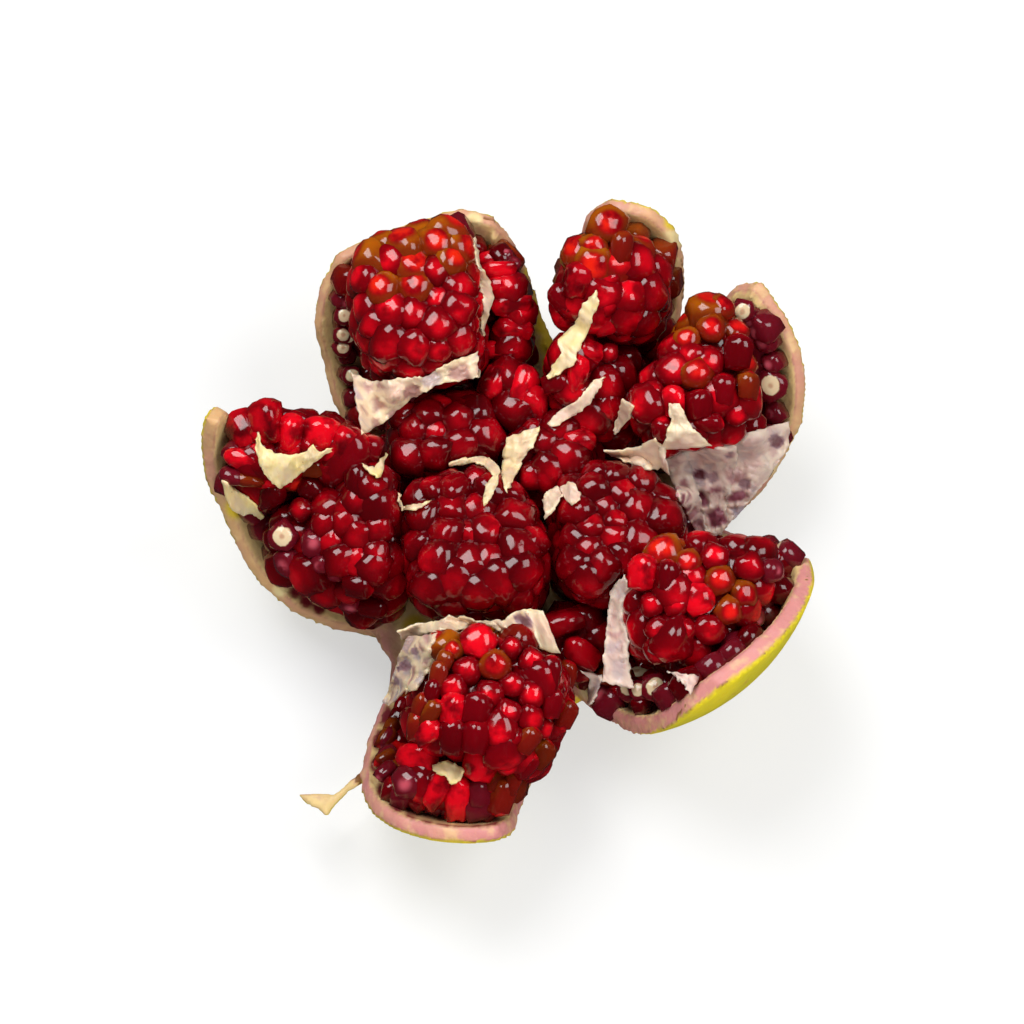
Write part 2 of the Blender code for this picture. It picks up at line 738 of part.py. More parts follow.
def neighbour_triangles(directions):
    """The triangles that join neighbouring directions over the sphere, facing out."""
    shape = bmesh.new()
    made = [shape.verts.new(d) for d in directions]
    shape.verts.index_update()
    bmesh.ops.convex_hull(shape, input=made)
    triangles = []
    inside = directions.mean(axis=0)
    for face in shape.faces:
        corners = [v.index for v in face.verts]
        a, b, c = (directions[i] for i in corners)
        if np.dot(np.cross(b - a, c - a), a - inside) < 0:
            corners.reverse()
        triangles.append(corners)
    shape.free()
    return triangles


def rings_of_triangles(triangles):
    """For each corner, the triangles round it in order."""
    following = {}
    for t, (a, b, c) in enumerate(triangles):
        for first, second, third in ((a, b, c), (b, c, a), (c, a, b)):
            following.setdefault(first, {})[second] = (third, t)
    rings = {}
    for corner, steps in following.items():
        start = next(iter(steps))
        ring = []
        at = start
        while True:
            at, t = steps[at]
            ring.append(t)
            if at == start:
                break
        rings[corner] = ring
    return rings


def mass_mesh(mass, draw):
    """Vertices and faces of a mass, each aril a faceted bead raised from its surface."""
    seeds, shown = place_arils(mass, draw)
    triangles = neighbour_triangles(seeds)
    rings = rings_of_triangles(triangles)
    pits = mass.data.get("style") == "pits"
    rise = -PIT_DEPTH if pits else ARIL_RISE
    groove = 0.0 if pits else ARIL_GROOVE

    corners = unit(np.array([seeds[t].sum(axis=0) for t in triangles]))
    corner_radius = mass.surface(corners, -groove)
    seed_radius = mass.surface(seeds)
    corner_points = corners * corner_radius[:, None]
    vertices = [mass.centre + p for p in corner_points]
    faces = []
    for seed, ring in rings.items():
        bead_height = rise * draw.uniform(0.75, 1.25)
        inner = []
        if shown[seed]:
            full = seeds[seed] * seed_radius[seed]
            mixed = unit(0.66 * corner_points[ring] + 0.34 * full)
            for direction, radius in zip(mixed, mass.surface(mixed, 0.7 * bead_height)):
                inner.append(len(vertices))
                vertices.append(mass.centre + direction * radius)
        top_radius = mass.surface(seeds[seed][None], bead_height * shown[seed])[0]
        top = len(vertices)
        vertices.append(mass.centre + seeds[seed] * top_radius)
        for k, corner in enumerate(ring):
            after = (k + 1) % len(ring)
            if inner:
                faces.append((corner, ring[after], inner[after], inner[k]))
                faces.append((inner[k], inner[after], top))
            else:
                faces.append((corner, ring[after], top))
    return vertices, faces


# The pale pieces that lie on a mass
def patch_loop(patch, centre):
    """(middle direction, two directions across it, smooth outline in radians round it)."""
    corners = np.array([(*p, patch["outline_z"]) for p in patch["outline"]], float) - centre
    edge = unit(corners)
    middle = unit(edge.mean(axis=0))
    across = unit(np.cross([0.0, 1.0, 0.0], middle))
    along = np.cross(middle, across)
    angles = np.arccos(np.clip(edge @ middle, -1, 1))
    flat = unit(np.stack([edge @ across, edge @ along], axis=1)) * angles[:, None]
    return middle, across, along, smooth_loop(flat, PATCH_SIDES)


def make_patches(tree):
    """Every pale piece that lies on a mass, a thin plate that follows its surface."""
    shares = [ring / PATCH_RINGS for ring in range(PATCH_RINGS + 1)]
    for name, patch in PATCHES.items():
        mass = Mass(patch["on"], tree)
        middle, across, along, loop = patch_loop(patch, mass.centre)
        vertices = []
        for lift in (PATCH_LIFT + patch["thickness"], PATCH_LIFT):
            for share in shares:
                points = loop * share if share else loop[:1] * 0
                angles = np.linalg.norm(points, axis=1)
                turned = across * points[:, :1] + along * points[:, 1:]
                turned /= np.maximum(angles, 1e-9)[:, None]
                directions = middle * np.cos(angles)[:, None]
                directions = directions + turned * np.sin(angles)[:, None]
                thinned = PATCH_LIFT + (lift - PATCH_LIFT) * (1 - 0.45 * share)
                radius = mass.surface(directions) + thinned
                vertices.extend(mass.centre + directions * radius[:, None])
        layer = 1 + PATCH_RINGS * PATCH_SIDES
        faces = []
        for k in range(PATCH_SIDES):
            step = (k + 1) % PATCH_SIDES
            for start in (0, layer):
                faces.append((start, start + 1 + k, start + 1 + step))
                for ring in range(PATCH_RINGS - 1):
                    first = start + 1 + ring * PATCH_SIDES
                    second = first + PATCH_SIDES
                    faces.append((first + k, second + k, second + step, first + step))
            edge = 1 + (PATCH_RINGS - 1) * PATCH_SIDES
            faces.append((edge + k, layer + edge + k, layer + edge + step, edge + step))
        face_outwards(add_object(name, vertices, faces, "septum"))


def make_masses(tree):
    """Every mass of arils and every pitted septum, each one body."""
    for number, (name, data) in enumerate(MASSES.items()):
        draw = np.random.default_rng(LAYOUT_SEED + number)
        kind = "septum" if data.get("style") == "pits" else "aril"
        made = add_object(name, *mass_mesh(Mass(name, tree), draw), kind)
        face_outwards(made)


# The thin septa between two masses
def sheet_frame(sheet):
    """(middle of the seam, normal, level direction along it, direction up it)."""
    first, second = sheet["between"]
    normal, distance = seam(first, second)
    level = unit(np.cross([0.0, 0.0, 1.0], normal))
    middle = mass_centre(MASSES[first]) + normal * distance
    return middle, normal, level, np.cross(normal, level)


def cut_polygon(polygon, direction, limit):
    """The part of a flat polygon where its dot product with direction is under limit."""
    kept = []
    for k, p in enumerate(polygon):
        q = polygon[(k + 1) % len(polygon)]
        inside_p = p @ direction <= limit
        inside_q = q @ direction <= limit
        if inside_p:
            kept.append(p)
        if inside_p != inside_q:
            share = (limit - p @ direction) / ((q - p) @ direction)
            kept.append(p + (q - p) * share)
    return kept


def clear_outline(outline, middle, level, upward, tree):
    """The outline in short steps, drawn in towards the middle wherever the rind is near."""
    cleared = []
    for k, p in enumerate(outline):
        q = outline[(k + 1) % len(outline)]
        steps = max(1, math.ceil(np.linalg.norm(q - p) / SHEET_STEP))
        for step in range(steps):
            at = p + (q - p) * step / steps
            run = np.linalg.norm(at)
            direction = (level * at[0] + upward * at[1]) / run
            hit = tree.ray_cast(Vector(middle) * MM, Vector(direction))
            room = hit[3] / MM - SHEET_ROOM if hit[0] is not None else run
            cleared.append(at * min(1.0, room / run))
    return cleared


def make_sheets(tree):
    """Every thin septum, a flat plate with a torn upper edge."""
    for number, (name, sheet) in enumerate(SHEETS.items()):
        middle, normal, level, upward = sheet_frame(sheet)
        start, end = sheet["along"]
        steps = 11
        outline = [np.array([start, sheet["down"]], float), np.array([end, sheet["down"]], float)]
        for k in range(steps):
            along = end + (start - end) * k / (steps - 1)
            tear = sheet["torn"] * (math.sin(2.3 * k + number) + 0.6 * math.sin(5.1 * k))
            crown = 2.0 * math.sin(math.pi * k / (steps - 1))
            outline.append(np.array([along, sheet["up"] + tear + crown - 2.0]))
        side = {n: Mass(n, None) for n in sheet["between"]}
        for mass in side.values():
            for n, d in zip(mass.seam_normals, mass.seam_distances):
                if abs(n @ normal) > 0.999:
                    continue
                flat = np.array([n @ level, n @ upward])
                limit = d - (middle - mass.centre) @ n - GAP
                outline = cut_polygon(outline, flat, limit)
        outline = clear_outline(outline, middle, level, upward, tree)
        half = SHEET_THICKNESS / 2
        vertices = []
        for side_shift in (-half, half):
            for s, w in outline:
                vertices.append(middle + level * s + upward * w + normal * side_shift)
        count = len(outline)
        faces = [tuple(range(count)), tuple(range(2 * count - 1, count - 1, -1))]
        for k in range(count):
            step = (k + 1) % count
            faces.append((k, k + count, step + count, step))
        face_outwards(add_object(name, vertices, faces, "septum"))


def main():
    for obj in list(bpy.data.objects):
        bpy.data.objects.remove(obj)
    rind = make_rind()
    points = [v.co for v in rind.data.vertices]
    tree = BVHTree.FromPolygons(points, [tuple(p.vertices) for p in rind.data.polygons])
    make_masses(tree)
    make_patches(tree)
    make_sheets(tree)
    for obj in bpy.data.objects:
        obj.data.transform(Matrix.Translation(Vector(CENTRING) * MM))


main()
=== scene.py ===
import json
import math

import bmesh
import bpy
import numpy as np
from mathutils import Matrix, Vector, noise
from mathutils.bvhtree import BVHTree

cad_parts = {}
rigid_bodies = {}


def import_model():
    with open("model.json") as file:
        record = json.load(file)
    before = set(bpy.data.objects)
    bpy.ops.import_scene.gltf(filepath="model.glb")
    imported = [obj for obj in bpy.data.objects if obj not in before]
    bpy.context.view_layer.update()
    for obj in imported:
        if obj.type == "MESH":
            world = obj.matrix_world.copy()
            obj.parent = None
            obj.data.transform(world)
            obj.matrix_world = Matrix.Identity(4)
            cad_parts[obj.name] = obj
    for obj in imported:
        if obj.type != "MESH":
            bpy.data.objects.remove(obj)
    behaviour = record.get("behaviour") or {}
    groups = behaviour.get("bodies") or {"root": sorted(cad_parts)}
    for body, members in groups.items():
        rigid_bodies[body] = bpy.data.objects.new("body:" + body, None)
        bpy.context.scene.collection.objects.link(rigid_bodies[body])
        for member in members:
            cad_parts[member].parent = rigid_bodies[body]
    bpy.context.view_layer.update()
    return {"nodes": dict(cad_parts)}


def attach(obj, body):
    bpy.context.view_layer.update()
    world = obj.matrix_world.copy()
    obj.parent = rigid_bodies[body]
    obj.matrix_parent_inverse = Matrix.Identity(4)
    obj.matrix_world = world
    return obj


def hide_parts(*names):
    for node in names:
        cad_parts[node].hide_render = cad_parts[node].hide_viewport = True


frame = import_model()
scene = bpy.context.scene
mm = 0.001


# camera: the photograph looks down from the bottom lobe's side
view = {
    "elevation": 70,
    "distance": 750 * mm,
    "target": (0.98 * mm, 5.15 * mm, 25 * mm),
    "lens": 138.4,
    "sensor": 36,
    "picture": 1024,           # pixels across
    "pixelsPerMetre": 5250,    # of the part, in the photograph
}

viewTilt = math.radians(view["elevation"])
viewBack = np.array((0, -math.cos(viewTilt), math.sin(viewTilt)))
viewUp = np.array((0, math.sin(viewTilt), math.cos(viewTilt)))
viewEye = np.array(view["target"]) + viewBack * view["distance"]
viewFocus = view["lens"] / view["sensor"] * view["picture"]
viewMiddle = view["picture"] / 2


def placeCamera():
    camera = bpy.data.objects.new("photoView", bpy.data.cameras.new("photoView"))
    camera.data.lens = view["lens"]
    camera.data.sensor_width = view["sensor"]
    camera.data.clip_start = 0.01
    camera.location = viewEye
    camera.rotation_euler = (math.radians(90 - view["elevation"]), 0, 0)
    scene.collection.objects.link(camera)
    scene.camera = camera


placeCamera()
print("camera set")


def toPhoto(points):
    # where points of the part lie in the photograph
    away = points - viewEye
    depth = -(away @ viewBack)
    return np.stack([viewMiddle + viewFocus * away[..., 0] / depth,
                     viewMiddle - viewFocus * (away @ viewUp) / depth], axis=-1)


def pixelsFrom(places, x, y):
    return np.hypot(places[..., 0] - x, places[..., 1] - y)


def lineOfSight(x, y):
    across = np.array((1, 0, 0)) * (x - viewMiddle)
    return Vector(-viewBack * viewFocus + across + viewUp * (viewMiddle - y)).normalized()


# small helpers for meshes
def unit(vectors):
    return vectors / np.maximum(np.linalg.norm(vectors, axis=-1, keepdims=True), 1e-12)


def smoothStep(values, low, high):
    t = np.clip((values - low) / (high - low), 0, 1)
    return t * t * (3 - 2 * t)


def readVectors(items, name):
    flat = np.empty(len(items) * 3)
    items.foreach_get(name, flat)
    return flat.reshape(-1, 3)


def pointsOf(mesh):
    return readVectors(mesh.vertices, "co")


def normalsOf(mesh):
    return readVectors(mesh.vertex_normals, "vector")


def treeOf(mesh):
    return BVHTree.FromPolygons([v.co for v in mesh.vertices],
                                [tuple(p.vertices) for p in mesh.polygons])


def movePoints(mesh, points):
    mesh.vertices.foreach_set("co", np.asarray(points, float).ravel())
    mesh.update()


def writeFloats(mesh, name, values):
    field = mesh.attributes.get(name) or mesh.attributes.new(name, "FLOAT", "POINT")
    field.data.foreach_set("value", np.asarray(values, np.float32))


def newObject(name, mesh):
    made = bpy.data.objects.new(name, mesh)
    scene.collection.objects.link(made)
    return made


def asPlainMesh(obj, name):
    bpy.context.view_layer.update()
    graph = bpy.context.evaluated_depsgraph_get()
    mesh = bpy.data.meshes.new_from_object(obj.evaluated_get(graph))
    bpy.data.objects.remove(obj)
    mesh.name = name
    return newObject(name, mesh)


def fineCopy(nodeName, name, voxel, smoothing):
    shape = bmesh.new()
    shape.from_mesh(frame["nodes"][nodeName].data)
    bmesh.ops.remove_doubles(shape, verts=shape.verts, dist=0.002 * mm)
    mesh = bpy.data.meshes.new(name)
    shape.to_mesh(mesh)
    shape.free()
    piece = newObject(name, mesh)
    fine = piece.modifiers.new("fine", "REMESH")
    fine.mode = "VOXEL"
    fine.voxel_size = voxel
    ease = piece.modifiers.new("ease", "SMOOTH")
    ease.factor = 0.5
    ease.iterations = smoothing
    return asPlainMesh(piece, name)


def noiseField(points, size, seed, octaves=3):
    shift = Vector((seed * 7.3, seed * 3.1, seed * 5.7))
    return np.array([noise.fractal(Vector(p) / size + shift, 1.0, 2.0, octaves) for p in points])


def pieceName(nodeName):
    words = nodeName.split("_")
    return words[0] + "".join(w.capitalize() for w in words[1:])


def finish(piece, nodeNames, material):
    piece.data.materials.clear()
    piece.data.materials.append(material)
    piece.data.shade_smooth()
    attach(piece, "root")
    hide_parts(*nodeNames)
    return piece


# shader building blocks
def newMaterial(name):
    material = bpy.data.materials.new(name)
    material.use_nodes = True
    tree = material.node_tree
    return material, tree, tree.nodes["Principled BSDF"]


def setSockets(tree, node, inputs):
    # each value is a plain one or another node's output
    for name, value in inputs.items():
        if isinstance(value, bpy.types.NodeSocket):
            tree.links.new(value, node.inputs[name])
        else:
            node.inputs[name].default_value = value


def addNode(tree, kind, inputs=None, **settings):
    node = tree.nodes.new(kind)
    for key, value in settings.items():
        setattr(node, key, value)
    setSockets(tree, node, inputs or {})
    return node


def field(tree, name):
    return addNode(tree, "ShaderNodeAttribute", attribute_name=name).outputs["Fac"]


def remap(tree, value, low, high, toLow=0.0, toHigh=1.0):
    inputs = {"Value": value, "From Min": low, "From Max": high, "To Min": toLow, "To Max": toHigh}
    node = addNode(tree, "ShaderNodeMapRange", inputs, interpolation_type="SMOOTHSTEP")
    return node.outputs["Result"]


def blend(tree, factor, first, second):
    first, second = (value if isinstance(value, bpy.types.NodeSocket) else (*value, 1)
                     for value in (first, second))
    inputs = {0: factor, 6: first, 7: second}
    return addNode(tree, "ShaderNodeMix", inputs, data_type="RGBA").outputs[2]


def layered(tree, colour, *layers):
    # colours laid over one another, each by its own share
    for share, above in layers:
        colour = blend(tree, share, colour, above)
    return colour


def reckon(tree, operation, *values):
    node = addNode(tree, "ShaderNodeMath", dict(enumerate(values)), operation=operation)
    return node.outputs[0]


def times(tree, first, second):
    return reckon(tree, "MULTIPLY", first, second)


def mottleGroup():
    # soft blotches and fine grain from the object's own coordinates
    group = bpy.data.node_groups.new("mottle", "ShaderNodeTree")
    for name, default in (("Blotch Scale", 120.0), ("Grain Scale", 900.0), ("Detail", 4.0)):
        socket = group.interface.new_socket(name, in_out="INPUT", socket_type="NodeSocketFloat")
        socket.default_value = default
    enter = group.nodes.new("NodeGroupInput").outputs
    leave = group.nodes.new("NodeGroupOutput")
    place = group.nodes.new("ShaderNodeTexCoord").outputs["Object"]
    for name in ("Blotch", "Grain"):
        group.interface.new_socket(name, in_out="OUTPUT", socket_type="NodeSocketFloat")
        cloud = addNode(group, "ShaderNodeTexNoise", {
            "Vector": place, "Scale": enter[name + " Scale"], "Detail": enter["Detail"]})
        group.links.new(cloud.outputs["Fac"], leave.inputs[name])
    return group


mottle = mottleGroup()


def addMottle(tree, blotchScale, grainScale):
    scales = {"Blotch Scale": blotchScale, "Grain Scale": grainScale}
    node = addNode(tree, "ShaderNodeGroup", scales, node_tree=mottle)
    return node.outputs["Blotch"], node.outputs["Grain"]


def addBump(tree, height, strength, distance, target):
    bump = addNode(tree, "ShaderNodeBump",
                   {"Strength": strength, "Distance": distance, "Height": height})
    tree.links.new(bump.outputs["Normal"], target.inputs["Normal"])


# arils: rounded many-sided grains, packed side by side over each mass
arilForm = {
    "kinds": 16,
    "around": 16,
    "along": 7,
    "sides": (5, 7),
    "crown": (4, 6),       # tilted facets round the top one
    "crownLean": (36, 50),
    "sharpness": 14,
    "topHeight": 0.43,     # over the middle of an aril one wide
    "rootLength": 0.9,
    "tipRange": (-0.35, 0.48),      # from where its root ends to its very tip
    "seed": 21,
}

arilLength = arilForm["topHeight"] + arilForm["rootLength"]

arilPacking = {
    "spacing": 5.7 * mm,
    "evening": 7,          # steps that even out the seeds
    "softening": 7,        # steps that smooth the solids' beads away
    "rise": 0.5 * mm,
    "overlap": 1.34,
    "tilting": 0.12,
    "coreDepth": 3.0 * mm,
    "together": 9 * mm,    # an aril placed one by one takes the place of packed ones this near
    "stepBack": 10 * mm,   # between masses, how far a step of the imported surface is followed
    "stepOut": 2 * mm,
    "seed": 4,
}

arilMasses = {
    # node: amber is how far down the amber rims reach (the pulp's own amber, lit by painted
    # backlight), roots the share that turn their pale seed end out, wall the lobe whose inner wall
    # is lined too, bare the places in the photograph that carry no arils: across, down, radius in
    # its pixels
    # the brightness shift lightens or darkens all of a mass's arils: painted light and shade
    "arils_upper_left": {"bright": 0.25, "amber": 0.34},
    "arils_upper_left_flank": {"wall": "upperLeft", "packed": False, "roots": 0.12, "amber": 0.1,
                               "dark": 0.5,
                               "bare": [(334, 272, 20), (545, 345, 26), (352, 246, 14),
                                        (530, 290, 24), (540, 325, 18), (552, 365, 18),
                                        (512, 250, 20), (488, 234, 16)]},
    "arils_upper_left_strip": {"bright": 0.3,
                               "bare": [(543, 345, 27), (539, 320, 21), (535, 295, 19),
                                        (527, 270, 15), (518, 250, 12), (542, 368, 20)]},
    "arils_upper_left_foot": {"bright": -0.55},
    "arils_upper_right": {"bright": 0.3, "amber": 0.42, "spacing": 6.2 * mm,
                          "wall": "upperRight", "roots": 0.1, "dark": 0.4,
                          "bare": [(676, 245, 22), (680, 280, 16), (662, 215, 14),
                                   (676, 300, 14), (670, 320, 12)]},
    "arils_upper_right_foot": {"amber": 0.2},
    "arils_right": {"bright": 0.6, "amber": 0.34, "spacing": 6.2 * mm,
                    "bare": [(664, 464, 18), (692, 460, 22), (722, 456, 20), (748, 448, 18),
                             (768, 440, 12), (700, 445, 10), (735, 445, 10)]},
    "arils_right_edge": {"wall": "right", "packed": False, "roots": 0.1, "amber": 0.3,
                         "dark": 0.6},
    "arils_lower_right": {"bright": 0.4, "amber": 0.2},
    "arils_lower_right_pocket": {"wall": "lowerRight", "packed": False, "roots": 0.1,
                                 "dark": 0.3},
    "arils_bottom": {"bright": 0.5, "amber": 0.25},
    "arils_bottom_flank": {"wall": "bottom", "packed": False, "roots": 0.0, "amber": 0.6,
                           "dark": 0.4},
    "arils_bottom_row": {"bright": 0.5, "amber": 0.15},
    "arils_left": {"bright": -0.55, "amber": 0.0, "wall": "left", "roots": 0.1, "dark": 0.3,
                   "bare": [(283, 590, 18), (302, 600, 20), (324, 609, 18), (347, 620, 14),
                            (371, 624, 14), (395, 620, 14), (238, 505, 14), (264, 574, 14)]},
    "arils_left_top": {"bright": 0.25,
                       "bare": [(262, 398, 22), (292, 404, 20), (318, 414, 16), (238, 408, 12)]},
    "arils_centre_back": {"bright": -0.55},
    "arils_centre": {"bright": -0.55},
    "arils_centre_right": {"bright": -0.55},
    "arils_centre_front": {"bright": -0.55, "spacing": 6.4 * mm},
    "arils_centre_top": {"bright": -0.55},
}

arilsByEye = {
    # arils placed one by one: across and down in the photograph's pixels, the way the tip points
    # in degrees unless it faces out of the surface, length and width in millimetres, what shows
    "arils_upper_left_flank": [
        (333, 313, 5, 3.8, "seed"), (331, 337, 5, 3.8, "seed"), (331, 360, 5, 3.8, "seed"),
        (334, 382, 5, 3.8, "dark"), (345, 338, 5, 4.0, "seed"), (350, 376, 5, 3.8, "seed"),
        (346, 357, 5, 3.8, "dark"), (342, 301, 5, 4.0, "dark"), (356, 397, 5, 4.2, "dark"),
        (341, 401, 5, 3.8, "dark"),
    ],
    "arils_upper_left_strip": [
        (487, 238, 120, 5.6, 4.6, ""), (493, 254, 180, 7.2, 3.1, "lying"),
        (498, 269, 180, 7.4, 3.1, "lying"), (504, 285, 180, 7.8, 3.3, "lying"),
        (512, 305, 182, 8.4, 3.8, "lying"), (514, 329, 176, 8.0, 4.6, "lying"),
        (500, 351, 176, 7.2, 4.0, "lying"), (493, 381, 250, 7.6, 5.6, "lying"),
        (524, 384, 70, 8.0, 4.6, "lying"), (536, 407, 115, 8.6, 5.8, "lying"),
        (506, 246, 4, 2.8, "dark"), (514, 262, 4, 2.8, "dark"), (521, 280, 4, 2.8, "dark"),
    ],
    "arils_upper_right": [
        (610, 222, 7, 7.8, "amber"), (584, 221, 80, 6.6, 5.0, "amber"),
        (640, 229, 6, 4.8, "brown"), (594, 246, 7, 5.8, "amber"),
        (622, 248, 85, 6.8, 4.8, "brown"), (576, 282, 75, 7.6, 5.6, "lying"),
        (608, 278, 6, 5.4, ""), (562, 302, 140, 7.4, 4.6, ""), (607, 305, 5, 4.8, ""),
    ],
    "arils_upper_right_foot": [
        (604, 328, 6, 4.8, "lying"), (590, 350, 160, 6, 4.6, "lying"), (611, 353, 6, 4.2, ""),
        (578, 375, 85, 8, 4.2, "lying"), (556, 383, 20, 5.4, 4.2, ""),
    ],
    "arils_right": [
        (725, 303, 6, 5.0, "brown"), (746, 320, 6, 5.8, "brown"), (712, 326, 6, 5.6, "brown"),
        (686, 338, 6, 5.2, "amber"), (709, 360, 6, 6.4, ""), (740, 352, 85, 7, 5.4, ""),
        (768, 358, 6.4, 5.8, "amber"), (674, 368, 6, 6.8, ""), (652, 390, 6, 4.8, ""),
        (674, 402, 95, 6.6, 4.4, "lying"), (700, 405, 90, 6, 4.8, ""),
        (724, 391, 85, 6.6, 4.8, ""), (748, 386, 85, 5.6, 4.2, "amber"),
        (708, 423, 0, 6, 3.6, ""), (738, 415, 5, 4.8, ""), (662, 430, 85, 5, 4.2, ""),
    ],
    "arils_right_edge": [
        (775, 387, 5, 6.0, "seed"), (751, 297, 5, 4.4, "seed"), (774, 333, 5, 4.8, "dark"),
        (785, 364, 5, 4.2, "dark"), (782, 412, 5, 4.4, "dark"), (768, 313, 5, 4.0, "dark"),
        (757, 410, 5, 4.6, "dark"),
    ],
    "arils_lower_right": [
        (642, 572, 85, 7, 5.4, "lying"), (667, 577, 80, 6.6, 4.6, ""),
        (688, 561, 6, 5.4, "brown"), (715, 554, 6, 5.4, ""), (720, 579, 6, 5.8, "brown"),
        (751, 566, 6, 5.8, ""), (746, 595, 6, 5.2, "brown"), (699, 597, 7, 6.4, "lying"),
        (730, 612, 6, 5.2, "brown"), (651, 604, 6, 4.8, ""), (676, 604, 6, 4.6, ""),
        (657, 630, 6, 5.2, ""), (684, 630, 6, 4.8, ""), (711, 631, 6, 5.8, ""),
        (733, 643, 0, 5, 3.8, "dark"), (757, 621, 5, 4.8, "dark"), (656, 653, 6, 5.4, ""),
        (695, 656, 6, 6.4, ""), (776, 571, 6, 4.8, "dark"), (772, 598, 6, 4.8, "dark"),
    ],
    "arils_lower_right_pocket": [
        (657, 690, 6, 5.4, "seed"), (637, 697, 6, 4.0, "seed"), (623, 712, 6, 4.8, "seed"),
        (606, 692, 170, 7.6, 3.6, "amber"), (607, 706, 5, 3.8, ""), (640, 711, 4, 3.8, ""),
        (673, 688, 80, 6, 4.6, ""),
    ],
    "arils_bottom": [
        (478, 638, 6, 6.4, "lying"), (452, 648, 6, 4.0, "amber"), (467, 669, 6, 5.2, ""),
        (495, 664, 6, 5.8, "brown"), (512, 645, 6, 4.4, ""), (533, 659, 6, 5.0, ""),
        (552, 674, 85, 7, 4.0, ""), (567, 679, 82, 7, 3.6, "brown"), (513, 684, 6, 5.0, ""),
        (533, 694, 6, 5.2, ""), (452, 687, 6, 5.4, ""), (490, 693, 6, 5.0, ""),
        (453, 710, 80, 6.4, 5.0, "lying"), (476, 709, 80, 6.4, 5.4, ""), (508, 712, 6, 5.0, ""),
        (534, 720, 6, 5.4, ""), (553, 704, 85, 6, 4.2, ""), (568, 716, 70, 6, 3.8, "brown"),
        (420, 708, 70, 6, 3.2, "brown"), (431, 694, 75, 6, 3.4, ""),
        (437, 676, 75, 6, 3.4, "brown"), (431, 714, 60, 6, 3.6, "amber"),
        (415, 727, 60, 6, 3.8, "brown"), (443, 662, 70, 5, 3.4, "amber"),
        (452, 737, 85, 7, 5.0, ""), (474, 738, 80, 7, 5.2, ""), (510, 738, 6, 5.0, ""),
        (529, 742, 60, 6, 4.4, "brown"), (547, 730, 6, 4.4, ""), (543, 755, 60, 6, 5.0, "amber"),
    ],
    "arils_bottom_row": [
        (427, 732, 40, 6, 4.8, "lying"), (417, 753, 165, 8.6, 5.4, "lying"),
        (480, 764, 70, 7.4, 6.0, "lying"), (508, 767, 6, 5.2, ""), (527, 768, 80, 6, 4.0, ""),
        (405, 784, 8, 6.4, "dark"), (437, 790, 60, 9.4, 4.8, "lying"),
        (457, 801, 86, 9.4, 4.4, "lying"), (479, 793, 95, 6, 4.4, "dark"),
        (427, 811, 175, 7, 4.8, "dark"), (452, 819, 175, 5.4, 4.4, "dark"),
        (479, 815, 5, 6.4, 5.0, "dark"), (412, 803, 160, 6, 4.2, ""), (495, 815, 60, 6, 4.6, ""),
        (503, 797, 75, 7.6, 5.0, "brown"), (494, 782, 60, 5, 4.2, "brown"),
        (513, 784, 75, 5, 3.4, "brown"),
    ],
    "arils_bottom_flank": [
        (388, 790, 5, 4.4, ""), (399, 801, 5, 4.4, "dark"), (385, 703, 70, 5, 3.0, ""),
        (396, 693, 70, 5, 3.0, "dark"), (405, 703, 60, 5, 3.0, "brown"),
        (380, 722, 60, 5, 3.0, "brown"), (392, 719, 60, 5, 3.0, ""),
        (404, 719, 60, 5, 3.0, "dark"), (374, 741, 60, 5, 3.2, "dark"),
        (386, 739, 60, 5, 3.2, "brown"), (398, 738, 60, 5, 3.2, ""),
        (377, 758, 40, 5, 3.6, "brown"), (389, 757, 50, 5, 3.4, "dark"),
        (372, 727, 70, 4, 2.6, ""), (394, 770, 50, 5, 3.4, "brown"),
        (383, 776, 50, 5, 3.4, "dark"),
    ],
    "arils_left_top": [
        (236, 426, 130, 8.6, 6.8, "lying"), (266, 422, 100, 8.6, 6.4, "lying"),
        (291, 434, 82, 7.6, 5.0, "lying"), (319, 434, 80, 7.0, 6.4, "lying"),
        (344, 445, 85, 6.8, 5.2, "lying"), (371, 451, 80, 5.8, 4.8, ""),
        (245, 459, 172, 8.0, 3.8, "lying"), (231, 477, 170, 4.8, 3.6, "dark"),
        (227, 450, 160, 4.4, 4.4, "dark"), (250, 480, 170, 6, 2.8, "amber"),
    ],
    "arils_left": [
        (253, 531, 6, 5.0, "dark"), (282, 536, 6, 5.6, "seed"), (261, 554, 6, 4.0, "dark"),
        (283, 566, 6, 5.8, "dark"), (313, 543, 6, 5.4, "dark"), (319, 566, 6, 4.0, "dark"),
        (334, 574, 6, 3.6, "dark"), (350, 608, 6, 4.8, "dark"), (269, 496, 60, 7, 6.0, ""),
        (332, 473, 100, 7.2, 5.8, "lying"), (313, 491, 130, 6, 5.4, ""),
        (358, 479, 95, 7.4, 6.0, ""), (299, 509, 5, 4.6, ""), (312, 470, 0, 5, 3.6, "amber"),
        (296, 485, 5, 4.2, "amber"), (343, 508, 5, 5.0, ""), (323, 522, 6, 5.6, ""),
        (389, 498, 5, 4.8, ""), (380, 529, 6, 5.8, ""), (355, 563, 6, 5.8, "lying"),
        (376, 553, 6, 5.4, ""), (357, 588, 0, 6, 5.0, ""), (372, 610, 0, 6, 4.4, ""),
    ],
    "arils_centre": [
        (478, 479, 7, 6.6, ""),
    ],
    "arils_centre_front": [
        (563, 622, 195, 9.0, 5.4, "lying"), (583, 655, 145, 8.0, 5.2, "lying"),
    ],
    "arils_centre_top": [
        (545, 441, 6, 5.6, ""), (579, 440, 8, 7.0, 4.6, "lying"), (529, 478, 6, 5.4, ""),
    ],
}

